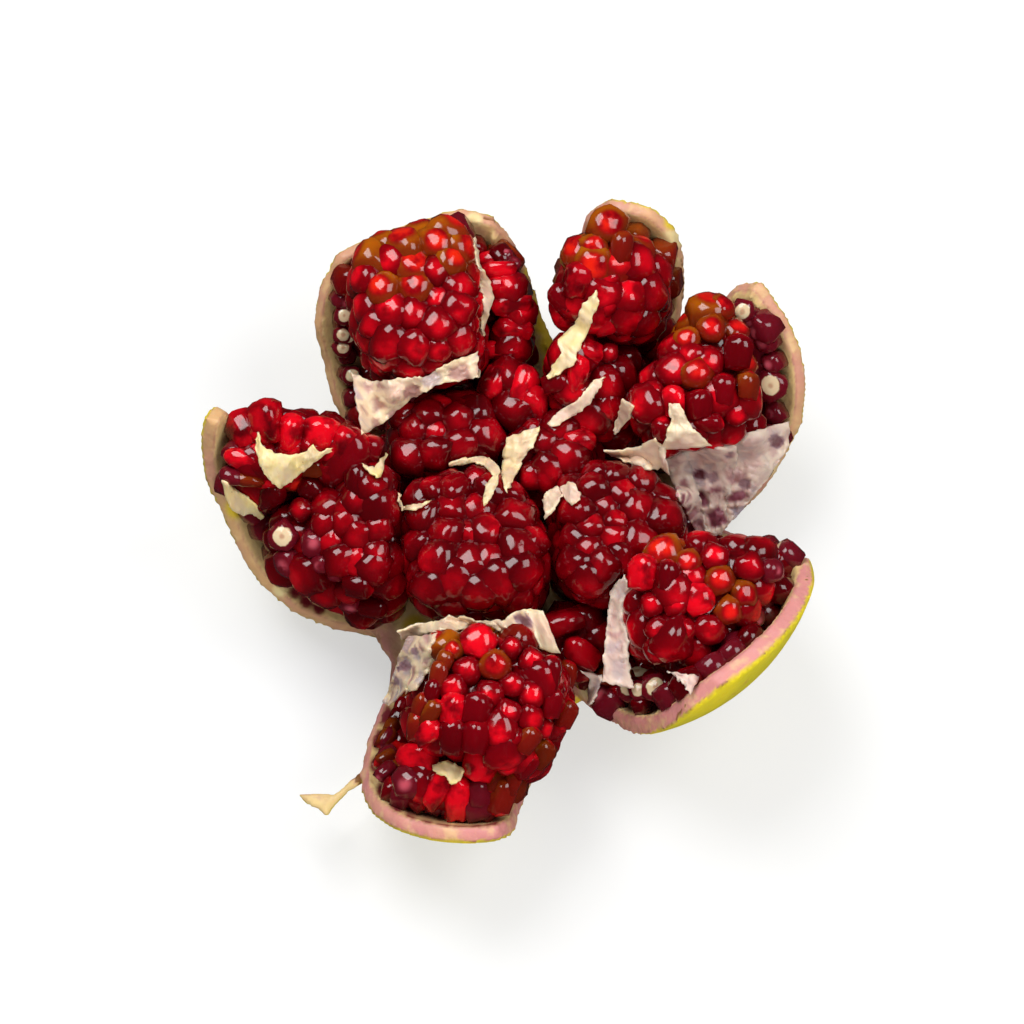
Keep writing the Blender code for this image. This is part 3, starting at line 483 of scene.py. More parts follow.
lobeWall = {
    "solidWall": 3.6 * mm,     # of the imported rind
    "spacing": 4.9 * mm,
    "inset": 2.4 * mm,         # how far wall arils keep from the torn edge
    "height": 4.6 * mm,
    "hidden": 2.5 * mm,        # an aril whose tip lies deeper than this in a mass is left away
    "lobes": {                 # middle and radius of each lobe's round shell, and its wall
        "upperLeft": (-8.02, 18.15, 44.5, 43.5, 2.6),
        "upperRight": (10.98, 19.15, 44.5, 43.5, 2.8),
        "right": (20.98, 12.65, 44.5, 43.5, 2.8),
        "lowerRight": (17.98, -2.35, 42.0, 41.0, 3.6),
        "bottom": (-7.02, -20.35, 44.5, 43.5, 3.2),
        "left": (-17.02, -2.85, 44.5, 43.5, 3.0),
    },
}


def pointing(turn, fall):
    # a direction that leans away from the upright
    return math.sin(fall) * math.cos(turn), math.sin(fall) * math.sin(turn), math.cos(fall)


def makeArilForms():
    # one aril: flat sides where its neighbours press, a crown of tilted facets, a tapered root
    draw = np.random.default_rng(arilForm["seed"])
    group = bpy.data.collections.new("arilForms")
    around, along = arilForm["around"], arilForm["along"]
    power = arilForm["sharpness"]
    for kind in range(arilForm["kinds"]):
        sides = int(draw.integers(*arilForm["sides"]))
        normals, reach = [], []
        for k in range(sides):
            turn = (k + draw.uniform(-0.22, 0.22)) * math.tau / sides
            normals.append(pointing(turn, math.radians(90 + draw.uniform(2, 9))))
            reach.append(0.5 * draw.uniform(0.9, 1.08))
        crown = int(draw.integers(*arilForm["crown"]))
        first = draw.uniform(0, math.tau)
        for k in range(crown):
            turn = first + (k + draw.uniform(-0.25, 0.25)) * math.tau / crown
            normals.append(pointing(turn, math.radians(draw.uniform(*arilForm["crownLean"]))))
            reach.append(0.5 * draw.uniform(0.9, 1.04))
        normals.append(pointing(draw.uniform(0, math.tau), math.radians(draw.uniform(2, 18))))
        reach.append(arilForm["topHeight"])
        normals.append((0, 0, -1))
        reach.append(arilForm["rootLength"])
        normals, reach = unit(np.array(normals)), np.array(reach)

        directions = np.array([
            (0, 0, 1),
            *(pointing(k * math.tau / around, math.pi * (ring / along) ** 1.25)
              for ring in range(1, along) for k in range(around)),
            (0, 0, -1)], float)
        facing = np.clip(directions @ normals.T, 0, None) / reach
        points = directions * ((facing ** power).sum(axis=1) ** (-1 / power))[:, None]

        last = len(points) - 1
        faces = []
        for k in range(around):
            step = (k + 1) % around
            faces.append((0, 1 + k, 1 + step))
            for ring in range(along - 2):
                low = 1 + ring * around
                faces.append((low + k, low + around + k, low + around + step, low + step))
            low = 1 + (along - 2) * around
            faces.append((low + k, last, low + step))
        mesh = bpy.data.meshes.new(f"arilForm{kind}")
        mesh.from_pydata(points.tolist(), [], faces)
        mesh.shade_smooth()
        points[:, 0] *= draw.uniform(0.88, 1.12)
        low, high = arilForm["tipRange"]
        writeFloats(mesh, "tip", np.clip((points[:, 2] - low) / (high - low), 0, 1))
        writeFloats(mesh, "side", np.clip(pixelsFrom(points, 0, 0) / 0.5, 0, 1))
        form = bpy.data.objects.new(f"arilForm{kind:02d}", mesh)
        group.objects.link(form)
    return group


def sphereGrid(subdivisions):
    shape = bmesh.new()
    bmesh.ops.create_icosphere(shape, subdivisions=subdivisions, radius=1)
    directions = np.array([v.co for v in shape.verts])
    edges = np.array([[v.index for v in e.verts] for e in shape.edges])
    faces = [[v.index for v in f.verts] for f in shape.faces]
    shape.free()
    return unit(directions), edges, faces


def averageAcross(values, edges, steps):
    links = np.zeros(len(values))
    np.add.at(links, edges.ravel(), 1)
    for _ in range(steps):
        total = np.zeros_like(values)
        np.add.at(total, edges[:, 0], values[edges[:, 1]])
        np.add.at(total, edges[:, 1], values[edges[:, 0]])
        values = 0.5 * values + 0.5 * total / links
    return values


grid, gridEdges, gridFaces = sphereGrid(5)


def roundedSolid(nodeName, softening):
    # the middle of a solid, and its outer surface seen from there with the beads smoothed away
    mesh = frame["nodes"][nodeName].data
    points = pointsOf(mesh)
    corners = points[[list(p.vertices) for p in mesh.polygons]]
    slices = np.einsum("ij,ij->i", corners[:, 0], np.cross(corners[:, 1], corners[:, 2]))
    middle = (corners.sum(axis=1) / 4 * slices[:, None]).sum(axis=0) / slices.sum()
    tree = treeOf(mesh)
    far = 100 * mm
    radius = np.empty(len(grid))
    for k, direction in enumerate(grid):
        ray = Vector(direction)
        hit = tree.ray_cast(Vector(middle) + ray * far, -ray)
        radius[k] = far - hit[3] if hit[0] else 1 * mm
    return middle, averageAcross(radius, gridEdges, softening)


def pickFarthest(surface, first, draw, enough):
    # places picked one by one, each about as far as it can be from those before it
    chosen = [first]
    apart = np.linalg.norm(surface - surface[first], axis=1)
    while not enough(chosen, apart):
        chosen.append(int((apart * draw.uniform(0.93, 1.0, len(apart))).argmax()))
        apart = np.minimum(apart, np.linalg.norm(surface - surface[chosen[-1]], axis=1))
    return chosen


def spreadSeeds(surface, spacing, draw):
    # seeds at even distances over the surface, each with a size of its own
    corners = surface[gridFaces]
    area = np.linalg.norm(np.cross(corners[:, 1] - corners[:, 0], corners[:, 2] - corners[:, 0]),
                          axis=1).sum() / 2
    count = max(8, int(area / (0.866 * spacing ** 2)))
    seeds = surface[pickFarthest(surface, int(draw.integers(len(surface))), draw,
                                 lambda chosen, apart: len(chosen) >= count)]
    sizes = draw.uniform(0.88, 1.12, count)
    for _ in range(arilPacking["evening"]):
        reach = np.linalg.norm(surface[:, None] - seeds[None], axis=2) / sizes
        owner = reach.argmin(axis=1)
        for k in range(count):
            own = owner == k
            if own.any():
                seeds[k] = surface[own].mean(axis=0)
    nearest = np.linalg.norm(surface[:, None] - seeds[None], axis=2).argmin(axis=0)
    return surface[nearest], nearest, sizes


def packedArilsTree():
    tree = bpy.data.node_groups.new("packedArils", "GeometryNodeTree")
    for name, kind in (("Geometry", "Geometry"), ("Aril Forms", "Collection"),
                       ("Core", "Object"), ("Fullness", "Float"), ("Seed", "Int"),
                       ("Finish", "Material")):
        tree.interface.new_socket(name, in_out="INPUT", socket_type="NodeSocket" + kind)
    tree.interface.new_socket("Geometry", in_out="OUTPUT", socket_type="NodeSocketGeometry")

    def add(kind, inputs=None, **settings):
        return addNode(tree, kind, inputs, **settings)

    def named(name, kind="FLOAT"):
        node = add("GeometryNodeInputNamedAttribute", {"Name": name}, data_type=kind)
        return node.outputs["Attribute"]

    enter = add("NodeGroupInput").outputs
    forms = add("GeometryNodeCollectionInfo", {
        "Collection": enter["Aril Forms"], "Separate Children": True, "Reset Children": True},
        transform_space="ORIGINAL")
    pick = add("FunctionNodeRandomValue", {
        "Min": 0, 5: arilForm["kinds"] - 1, "Seed": enter["Seed"]}, data_type="INT")
    aim = add("FunctionNodeAlignRotationToVector", {"Vector": named("aim", "FLOAT_VECTOR")},
              axis="Z")
    spin = add("FunctionNodeRandomValue", {2: 0.0, 3: math.tau, "Seed": enter["Seed"]},
               data_type="FLOAT")
    turn = add("FunctionNodeAxisAngleToRotation", {"Axis": (0, 0, 1), "Angle": spin.outputs[1]})
    rotate = add("FunctionNodeRotateRotation", {
        "Rotation": aim.outputs["Rotation"], "Rotate By": turn.outputs["Rotation"]},
        rotation_space="LOCAL")
    across = times(tree, named("across"), enter["Fullness"])
    size = add("ShaderNodeCombineXYZ", {
        "X": across, "Y": across, "Z": times(tree, across, named("stretch"))})
    grains = add("GeometryNodeInstanceOnPoints", {
        "Pick Instance": True, "Points": enter["Geometry"], "Instance": forms.outputs["Instances"],
        "Instance Index": pick.outputs[2], "Rotation": rotate.outputs["Rotation"],
        "Scale": size.outputs["Vector"]})
    core = add("GeometryNodeObjectInfo", {"Object": enter["Core"]}, transform_space="ORIGINAL")
    join = add("GeometryNodeJoinGeometry", {"Geometry": core.outputs["Geometry"]})
    tree.links.new(grains.outputs["Instances"], join.inputs["Geometry"])
    real = add("GeometryNodeRealizeInstances", {"Geometry": join.outputs["Geometry"]})
    paint = add("GeometryNodeSetMaterial", {
        "Geometry": real.outputs["Geometry"], "Material": enter["Finish"]})
    add("NodeGroupOutput", {"Geometry": paint.outputs["Geometry"]})
    return tree


def setInput(modifier, name, value):
    for item in modifier.node_group.interface.items_tree:
        if item.in_out == "INPUT" and item.name == name:
            modifier[item.identifier] = value


arilColours = {
    # painted shade: the dark red of roots and sides, where arils press together
    "deep": (0.075, 0.0001, 0.0016),
    # a lighter red for arils high in random tone plus their mass's painted light shift
    "bright": (0.15, 0.0003, 0.003),
    # painted light on each aril's crown
    "flesh": (0.20, 0.0002, 0.003),
    # painted light glowing through each aril's middle
    "glow": (0.66, 0.002, 0.010),
    # the pulp's own amber rim, lit by painted backlight
    "amber": (0.34, 0.080, 0.002),
    # painted backlight glowing red-orange in an amber aril's middle
    "amberCore": (0.66, 0.016, 0.003),
    "seed": (0.64, 0.50, 0.31),
    "seedHeart": (0.46, 0.27, 0.16),
    "seedRing": (0.12, 0.004, 0.010),
    "veil": (0.46, 0.07, 0.10),
}

arilShine = {
    "litSide": (-0.25, 0.85, 0.45),      # where the painted backlight makes amber rims glow most: up in the photograph
    "roughness": (0.06, 0.16),
    "ior": 1.38,
    "facetScale": 560.0,
}


def arilMaterial():
    material, tree, shader = newMaterial("arilFlesh")
    tip, side = field(tree, "tip"), field(tree, "side")
    tint, amber, roots, dark = (field(tree, name) for name in ("tint", "amber", "roots", "dark"))
    blotch, grain = addMottle(tree, 260.0, 1300.0)
    c = arilColours
    # painted shade and light: darker towards each aril's root, lighter towards its crown
    crown = times(tree, remap(tree, tip, 0.6, 0.97), remap(tree, tint, -0.5, 0.6, 0.4, 1.0))
    # painted light glowing through the middle of each aril, or along a lying one
    middle = reckon(tree, "MAXIMUM", remap(tree, side, 0.75, 0.2), field(tree, "lying"))
    spot = times(tree, middle, remap(tree, blotch, 0.32, 0.62))
    lit = times(tree, spot, remap(tree, tint, -0.3, 1.5, 0.25, 1.3))
    facing = addNode(tree, "ShaderNodeVectorMath", {
        0: addNode(tree, "ShaderNodeNewGeometry").outputs["Normal"],
        1: arilShine["litSide"]}, operation="DOT_PRODUCT")
    # painted backlight: the amber rims glow most on the sides facing litSide
    rim = times(tree, remap(tree, side, 0.52, 0.84),
                remap(tree, facing.outputs["Value"], 0.1, 0.75, 0.25, 1.0))
    cloud = times(tree, remap(tree, side, 0.6, 0.1), remap(tree, blotch, 0.38, 0.56))
    uneven = reckon(tree, "MULTIPLY_ADD", blotch, 0.5, reckon(tree, "SUBTRACT", side, 0.25))
    uneven = reckon(tree, "MULTIPLY_ADD", grain, 0.14, reckon(tree, "SUBTRACT", uneven, 0.07))
    seedEnd = times(tree, roots, remap(tree, uneven, 0.7, 0.6))
    seedEnd = times(tree, seedEnd, remap(tree, tip, 0.6, 0.78))
    seed = blend(tree, remap(tree, uneven, 0.3, 0.1), c["seed"], c["seedHeart"])
    # the aril's colour with painted shade and light laid over it; the purple root ends and pale
    # seed ends on top are its own
    body = layered(
        tree, c["deep"],
        (remap(tree, tint, 0.3, 1.1), c["bright"]),
        (crown, c["flesh"]),
        (lit, c["glow"]),
        # painted backlight through the amber pulp
        (times(tree, amber, spot), c["amberCore"]),
        (times(tree, rim, amber), c["amber"]),
        (dark, c["seedRing"]),
        (times(tree, cloud, dark), c["veil"]),
        (seedEnd, seed))
    facets = addNode(tree, "ShaderNodeTexVoronoi", {
        "Vector": addNode(tree, "ShaderNodeTexCoord").outputs["Object"],
        "Scale": arilShine["facetScale"]}, feature="SMOOTH_F1")
    setSockets(tree, shader, {
        "Base Color": body,
        "Roughness": remap(tree, grain, 0.3, 0.7, *arilShine["roughness"]),
        "IOR": arilShine["ior"],
        "Subsurface Weight": 0.2,
        "Subsurface Radius": (1.0, 0.12, 0.08),
        "Subsurface Scale": 1.6 * mm,
        "Coat Weight": 0.25,
        "Coat Roughness": 0.04,
    })
    height = reckon(tree, "MULTIPLY_ADD", facets.outputs["Distance"], 0.5, blotch)
    addBump(tree, height, 0.28, 0.2 * mm, shader)
    return material


seedKeys = ("start", "aim", "across", "stretch", "amber", "roots", "dark", "lying")


def seedFields(*values, **shown):
    # the fields of some seeds, where those that aren't named are nothing
    fields = {key: np.zeros(len(values[0])) for key in seedKeys}
    return fields | dict(zip(seedKeys, values)) | shown


def packedSeeds(look, middle, radius, draw):
    # seeds over a mass, aimed outwards
    surface = grid * radius[:, None]
    spacing = look.get("spacing", arilPacking["spacing"])
    seeds, nearest, sizes = spreadSeeds(surface, spacing, draw)
    count = len(seeds)
    surfaceMesh = bpy.data.meshes.new("surface")
    surfaceMesh.from_pydata(surface.tolist(), [], gridFaces)
    aim = unit(0.6 * normalsOf(surfaceMesh)[nearest] + 0.4 * grid[nearest])
    bpy.data.meshes.remove(surfaceMesh)
    aim = unit(aim + draw.normal(0, arilPacking["tilting"], aim.shape))
    apart = np.linalg.norm(seeds[:, None] - seeds[None], axis=2)
    across = np.sort(apart, axis=1)[:, 1:6].mean(axis=1) * sizes
    rise = arilPacking["rise"] + draw.uniform(-0.35, 0.25, count) * mm
    top = arilForm["topHeight"] * arilPacking["overlap"] * across
    start = middle + seeds + aim * (rise - top)[:, None]
    low, high = surface.min(axis=0), surface.max(axis=0)
    # amber on the upper arils of a mass: the pulp's own amber, lit by painted backlight
    share = ((seeds - low) / (high - low))[:, 1:] @ (0.6, 0.4)
    reach = look.get("amber", 0)
    amber = smoothStep(share + draw.uniform(-0.18, 0.18, count), 1.02 - reach, 1.22 - reach)
    return seedFields(start, aim, across, np.ones(count), amber * (reach > 0))


wallGrid, _, _ = sphereGrid(6)


def wallOf(look, rindTree):
    # directions from a lobe's middle that meet its inner wall, clear of the torn edge
    x, y, z, radius, wall = (value * mm for value in lobeWall["lobes"][look["wall"]])
    middle = np.array((x, y, z))
    solid = radius - lobeWall["solidWall"]
    met = np.zeros(len(wallGrid), bool)
    for k, direction in enumerate(wallGrid):
        hit = rindTree.ray_cast(Vector(middle), Vector(direction), solid + 1 * mm)
        met[k] = hit[0] is not None and hit[3] > solid - 1 * mm
    walls, gaps = wallGrid[met], wallGrid[~met]
    toEdge = np.arccos(np.clip((walls @ gaps.T).max(axis=1), -1, 1)) * solid
    return middle, radius - wall, walls[toEdge > lobeWall["inset"]]


def wallSeeds(look, lobe, massTrees, draw):
    # seeds on the inner wall of a lobe, wherever no mass hides them
    middle, inner, walls = lobe
    surface = walls * inner
    chosen = pickFarthest(surface, int(surface[:, 2].argmax()), draw,
                          lambda chosen, apart: apart.max() <= lobeWall["spacing"] * 0.8)
    aim = -walls[chosen]
    tips = middle + surface[chosen] + aim * lobeWall["height"]
    free = np.ones(len(chosen), bool)
    for k, tip in enumerate(tips):
        for massTree in massTrees:
            near, normal, _, gap = massTree.find_nearest(Vector(tip))
            if gap > lobeWall["hidden"] and (Vector(tip) - near).dot(normal) < 0:
                free[k] = False
    aim, tips = aim[free], tips[free]
    count = len(tips)
    across = lobeWall["spacing"] * draw.uniform(0.9, 1.1, count)
    stretch = (lobeWall["height"] + 1 * mm) / (arilLength * arilPacking["overlap"] * across)
    top = arilForm["topHeight"] * arilPacking["overlap"] * across * stretch
    amber = draw.uniform(0, 1, count) * look.get("amber", 0)
    shown = {name: draw.uniform(0, 1, count) < look.get(name, 0) for name in ("roots", "dark")}
    return seedFields(tips - aim * top[:, None], aim, across, stretch, amber, **shown)


def packedSurface(carrier, x, y):
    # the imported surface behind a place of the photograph, with the steps between masses eased
    depths, normals = [], []
    for reach, count in ((0, 1), (10, 6), (19, 6)):
        for k in range(count):
            turn = k * math.tau / count
            hit = carrier.ray_cast(Vector(viewEye), lineOfSight(x + reach * math.cos(turn),
                                                                y + reach * math.sin(turn)))
            if hit[0] is None and reach == 0:
                return None
            if hit[0] is not None:
                depths.append(hit[3])
                normals.append(hit[1])
    depth = np.clip(depths, depths[0] - arilPacking["stepBack"],
                    depths[0] + arilPacking["stepOut"]).mean()
    return viewEye + np.array(lineOfSight(x, y)) * depth, unit(np.sum(normals, axis=0))


def seedsByEye(nodeName, look, carrier, solid, lobe):
    # arils that stand where the photograph shows them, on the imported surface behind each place
    # or on the lobe's wall, at the visible place nearest to it
    rows = []
    for x, y, *turn, length, width, shows in arilsByEye[nodeName]:
        found = packedSurface(carrier, x, y) if look.get("packed", True) else None
        if found:
            hit, normal = found
        elif lobe is None:
            miss = pixelsFrom(toPhoto(solid), x, y)
            hit, normal = solid[miss.argmin()], unit(grid[miss.argmin()])
        else:
            middle, inner, walls = lobe
            walls = walls[walls @ viewBack < 0.35]
            tips = middle + walls * (inner - 0.8 * length * mm)
            miss = pixelsFrom(toPhoto(tips), x, y)
            hit, normal = tips[miss.argmin()], -walls[miss.argmin()]
        facing = 0.8 if shows == "seed" else 0.3
        if shows == "seed" and not found:
            hit = hit + viewBack * 1.4 * mm
        normal = unit((1 - facing) * normal + facing * viewBack)
        length, width = length * mm, width * mm
        if not turn:
            aim = normal
            start = hit + normal * (0.5 * mm - 0.34 * length)
        else:
            turn = math.radians(turn[0])
            aim = np.array((math.cos(turn), 0, 0)) + viewUp * math.sin(turn)
            aim = unit(aim - normal * (aim @ normal) + 0.1 * normal)
            start = hit + aim * 0.18 * length + normal * (0.7 * mm - 0.3 * width)
        amber = {"amber": 0.9, "brown": 0.5}.get(shows, 0) * (0.55 if aim is not normal else 1)
        rows.append((start, aim, width, length / width / arilLength, amber, shows == "seed",
                     shows in ("dark", "seed"), shows == "lying"))
    made = {key: np.array([row[k] for row in rows], float) for k, key in enumerate(seedKeys)}
    made["across"] /= arilPacking["overlap"]
    return made


def joined(groups):
    return {key: np.concatenate([group[key] for group in groups]) for key in groups[0]}


def without(seeds, hidden):
    return {key: values[~hidden] for key, values in seeds.items()}


def clearSeeds(seeds, look, byEye):
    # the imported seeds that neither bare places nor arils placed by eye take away
    places = toPhoto(seeds["start"])
    for x, y, reach in look.get("bare", []):
        bare = pixelsFrom(places, x, y) < reach
        seeds, places = without(seeds, bare), places[~bare]
    for other in byEye.values():
        for start, place, width, long in zip(other["start"], toPhoto(other["start"]),
                                             other["across"], other["stretch"]):
            reach = view["pixelsPerMetre"] * width * (0.62 + 0.22 * (long - 1))
            close = pixelsFrom(places, *place) < reach
            close &= np.linalg.norm(seeds["start"] - start, axis=1) < arilPacking["together"]
            seeds, places = without(seeds, close), places[~close]
    return seeds


def growArils(name, seeds, coreMesh, tree, inputs):
    # one piece: an aril form on every seed, round a core
    seedMesh = bpy.data.meshes.new("seeds")
    seedMesh.from_pydata(seeds.pop("start").tolist(), [], [])
    aimField = seedMesh.attributes.new("aim", "FLOAT_VECTOR", "POINT")
    aimField.data.foreach_set("vector", seeds.pop("aim").ravel())
    for key, values in seeds.items():
        writeFloats(seedMesh, key, values)
    core = newObject("core", coreMesh)
    packed = newObject("seeds", seedMesh)
    grow = packed.modifiers.new("grow", "NODES")
    grow.node_group = tree
    for key, value in {**inputs, "Core": core}.items():
        setInput(grow, key, value)
    piece = asPlainMesh(packed, name)
    bpy.data.objects.remove(core)
    return piece


def packArils():
    tree = packedArilsTree()
    forms = makeArilForms()
    material = arilMaterial()
    rindTree = treeOf(frame["nodes"]["rind"].data)
    massTrees = [treeOf(node.data) for name, node in frame["nodes"].items()
                 if name.startswith("arils") and arilMasses[name].get("packed", True)
                 or name in ("septum_right", "septum_bottom")]
    rounded = {name: roundedSolid(name, arilPacking["softening"])
               for name, look in arilMasses.items() if look.get("packed", True)}
    solids = {name: middle + grid * radius[:, None] for name, (middle, radius) in rounded.items()}
    faces = np.array(gridFaces)
    carrier = BVHTree.FromPolygons(
        np.concatenate(list(solids.values())).tolist(),
        np.concatenate([faces + k * len(grid) for k in range(len(solids))]).tolist())
    lobes = {name: wallOf(look, rindTree) for name, look in arilMasses.items() if "wall" in look}
    byEye = {name: seedsByEye(name, arilMasses[name], carrier, solids.get(name), lobes.get(name))
             for name in arilsByEye}
    total = 0
    for number, (nodeName, look) in enumerate(arilMasses.items()):
        draw = np.random.default_rng(arilPacking["seed"] + number)
        groups = []
        coreMesh = bpy.data.meshes.new("core")
        if nodeName in rounded:
            middle, radius = rounded[nodeName]
            coreRadius = np.maximum(radius - arilPacking["coreDepth"], 0.4 * radius)
            coreMesh.from_pydata((middle + grid * coreRadius[:, None]).tolist(), [], gridFaces)
            groups.append(packedSeeds(look, middle, radius, draw))
        if nodeName in lobes:
            groups.append(wallSeeds(look, lobes[nodeName], massTrees, draw))
        seeds = clearSeeds(joined(groups), look, byEye)
        if nodeName in byEye:
            seeds = joined([seeds, byEye[nodeName]])
        count = len(seeds["start"])
        # a random tone per aril, with each mass's painted light and shade added
        seeds["tint"] = draw.uniform(0, 1, count) + look.get("bright", 0)
        piece = growArils(pieceName(nodeName), seeds, coreMesh, tree, {
            "Aril Forms": forms, "Fullness": arilPacking["overlap"], "Seed": number,
            "Finish": material})
        finish(piece, [nodeName], material)
        total += count
    for form in list(forms.objects):
        bpy.data.objects.remove(form)
    bpy.data.collections.remove(forms)
    print("arils packed:", total)


packArils()


# rind: the torn shell, with its skin, torn edge and pale inside
rindShape = {
    "voxel": 0.8 * mm,
    "snap": 0.9 * mm,      # how near the finished faces count as the shell's own
    "rose": {"upperLeft": 0.15, "upperRight": 0.35, "right": 0.3, "lowerRight": 1.0,
             "bottom": 0.85, "left": 0.15},
}

rindSpots = {
    # places in the photograph where the rind shows its pale inside: across, down, radius
    "yellow": [(556, 362, 16), (552, 345, 16), (546, 325, 14), (541, 305, 12), (536, 288, 9),
               (530, 272, 7), (672, 222, 9), (236, 508, 12), (415, 627, 14), (574, 706, 12)],
    "cream": [(672, 240, 12), (672, 262, 9), (674, 280, 9), (668, 318, 8), (672, 340, 9),
              (228, 488, 10), (240, 495, 12), (243, 512, 10), (252, 505, 10), (474, 220, 9),
              (280, 590, 8), (765, 465, 14), (772, 450, 12), (590, 690, 12), (585, 676, 10)],
}

rindStains = [
    # where red pulp clings to the inside of the rind: across, down, radius
    (296, 592, 8), (307, 601, 9), (319, 608, 8), (398, 805, 9), (412, 813, 9), (428, 819, 9),
    (444, 823, 9), (460, 825, 9), (476, 825, 9), (492, 822, 9), (384, 790, 9), (378, 765, 10),
    (380, 740, 12), (384, 715, 12),
]

rindColours = {
    "skin": (0.86, 0.69, 0.008),
    "skinGreen": (0.72, 0.61, 0.012),
    "skinBlush": (0.62, 0.28, 0.06),
    "tornTan": (0.62, 0.37, 0.16),
    "tornRose": (0.62, 0.24, 0.22),
    "tornLine": (0.24, 0.10, 0.03),
    "pulp": (0.16, 0.008, 0.015),
    "inside": (0.76, 0.55, 0.24),
    "yellow": (0.70, 0.50, 0.03),
    "cream": (0.78, 0.62, 0.30),
    "stain": (0.34, 0.10, 0.11),
}


def rindMaterial():
    material, tree, shader = newMaterial("rind")
    skin, torn, depth, rose = (field(tree, name) for name in ("skin", "torn", "depth", "rose"))
    blotch, grain = addMottle(tree, 70.0, 1100.0)
    fine, _ = addMottle(tree, 330.0, 300.0)
    c = rindColours
    outside = layered(
        tree, c["skin"],
        (remap(tree, blotch, 0.42, 0.62), c["skinGreen"]),
        (remap(tree, fine, 0.6, 0.78, 0.0, 0.6), c["skinBlush"]))
    inside = blend(tree, remap(tree, fine, 0.5, 0.75, 0.0, 0.45), c["inside"], c["stain"])
    flush = reckon(tree, "ADD", rose, remap(tree, blotch, 0.4, 0.65, -0.1, 0.35))
    edge = layered(
        tree, c["tornTan"],
        (flush, c["tornRose"]),
        (remap(tree, fine, 0.5, 0.7, 0.0, 0.5), c["inside"]),
        (remap(tree, depth, 0.24, 0.06), c["tornLine"]),
        (remap(tree, depth, 0.75, 1.0, 0.0, 0.5), c["stain"]))
    setSockets(tree, shader, {
        "Base Color": layered(tree, inside, (skin, outside), (torn, edge), *(
            (field(tree, name), c[name]) for name in ("cream", "yellow", "pulp"))),
        "Roughness": remap(tree, grain, 0.3, 0.7, 0.42, 0.62),
        "Subsurface Weight": 0.12,
        "Subsurface Radius": (1.0, 0.5, 0.25),
        "Subsurface Scale": 1.0 * mm,
    })
    addBump(tree, reckon(tree, "ADD", grain, fine), 0.5, 0.3 * mm, shader)
    return material


def makeRind():
    rind = fineCopy("rind", "openRind", rindShape["voxel"], 5)
    mesh = rind.data
    points, normals = pointsOf(mesh), normalsOf(mesh)
    best = np.full(len(points), 9.0)
    facing = np.zeros(len(points))
    depth = np.full(len(points), 0.5)
    rose = np.zeros(len(points))
    snapped = points.copy()
    squeeze = np.zeros(len(points))
    fromMiddle = np.zeros_like(points)
    wall = lobeWall["solidWall"]
    for name, (x, y, z, radius, thin) in lobeWall["lobes"].items():
        middle = np.array([x, y, z]) * mm
        radius = radius * mm
        away = points - middle
        run = np.linalg.norm(away, axis=1)
        outward = away / run[:, None]
        turned = (normals * outward).sum(axis=1)
        share = (radius - run) / wall
        miss = np.abs(np.clip(share, 0, 1) - share) + 0.2 * (1 - np.abs(turned)) * (share < 0.5)
        closer = (np.abs(share - 0.5) < 0.85) & (miss < best)
        best[closer] = miss[closer]
        facing[closer] = turned[closer]
        squeeze[closer] = 1 - thin * mm / wall
        fromMiddle[closer] = outward[closer]
        depth[closer] = share[closer]
        rose[closer] = rindShape["rose"][name]
        outer = closer & (turned > 0.8) & (np.abs(run - radius) < rindShape["snap"])
        inner = closer & (turned < -0.8) & (np.abs(run - radius + wall) < rindShape["snap"])
        snapped[outer] = middle + outward[outer] * radius
        snapped[inner] = middle + outward[inner] * (radius - thin * mm)
    torn = smoothStep(np.abs(facing), 0.85, 0.55) * (best < 9)
    edge = (np.abs(facing) <= 0.8) & (best < 9)
    snapped[edge] += fromMiddle[edge] * (np.clip(depth, 0, 1) * squeeze * wall)[edge, None]
    rough = (noiseField(points, 4.0 * mm, 1) * 0.25 * mm
             + noiseField(points, 1.3 * mm, 2) * 0.1 * mm)
    snapped += normals * (rough * (0.15 + 0.85 * torn))[:, None]
    snapped[:, 2] = np.maximum(snapped[:, 2], 0)
    movePoints(mesh, snapped)
    places, seen = toPhoto(snapped), smoothStep(normals @ viewBack, -0.1, 0.2)
    for name, spots in (*rindSpots.items(), ("pulp", rindStains)):
        shows = np.zeros(len(points))
        for x, y, reach in spots:
            near = pixelsFrom(places, x, y)
            shows = np.maximum(shows, smoothStep(near, reach * 1.15, reach * 0.6))
        if name == "pulp":
            shows *= smoothStep(facing, -0.5, -0.8)
        writeFloats(mesh, name, shows * seen)
    skin = np.where(best < 9, facing > 0, normals[:, 2] < 0)
    for name, values in (("skin", skin), ("torn", torn), ("depth", np.clip(depth, 0, 1)),
                         ("rose", rose)):
        writeFloats(mesh, name, values)
    finish(rind, ["rind"], rindMaterial())


makeRind()
print("rind torn and coloured")


# septa: thin crumpled membranes, pitted where arils were pulled off them
membraneShape = {
    "step": 0.45 * mm,         # between points
    "thickness": 0.35 * mm,
    "crumple": 0.55 * mm,
    "ragged": 0.9,             # of the torn edges, in the photograph's pixels
    "draping": 12,             # steps that ease a sheet over what is behind it
    "clearance": 0.8 * mm,     # kept from what is behind
    "bulge": 0.35 * mm,        # of a sheet's middle
    "slope": 2.4,              # the steepest that a sheet falls away, so that it stays one flap
    "tuck": 12 * mm,           # what stands further than this before the sheet's solid covers it
    "deepTuck": 17 * mm,       # the same for the right lobe's wide wall
    "seed": 90,
}

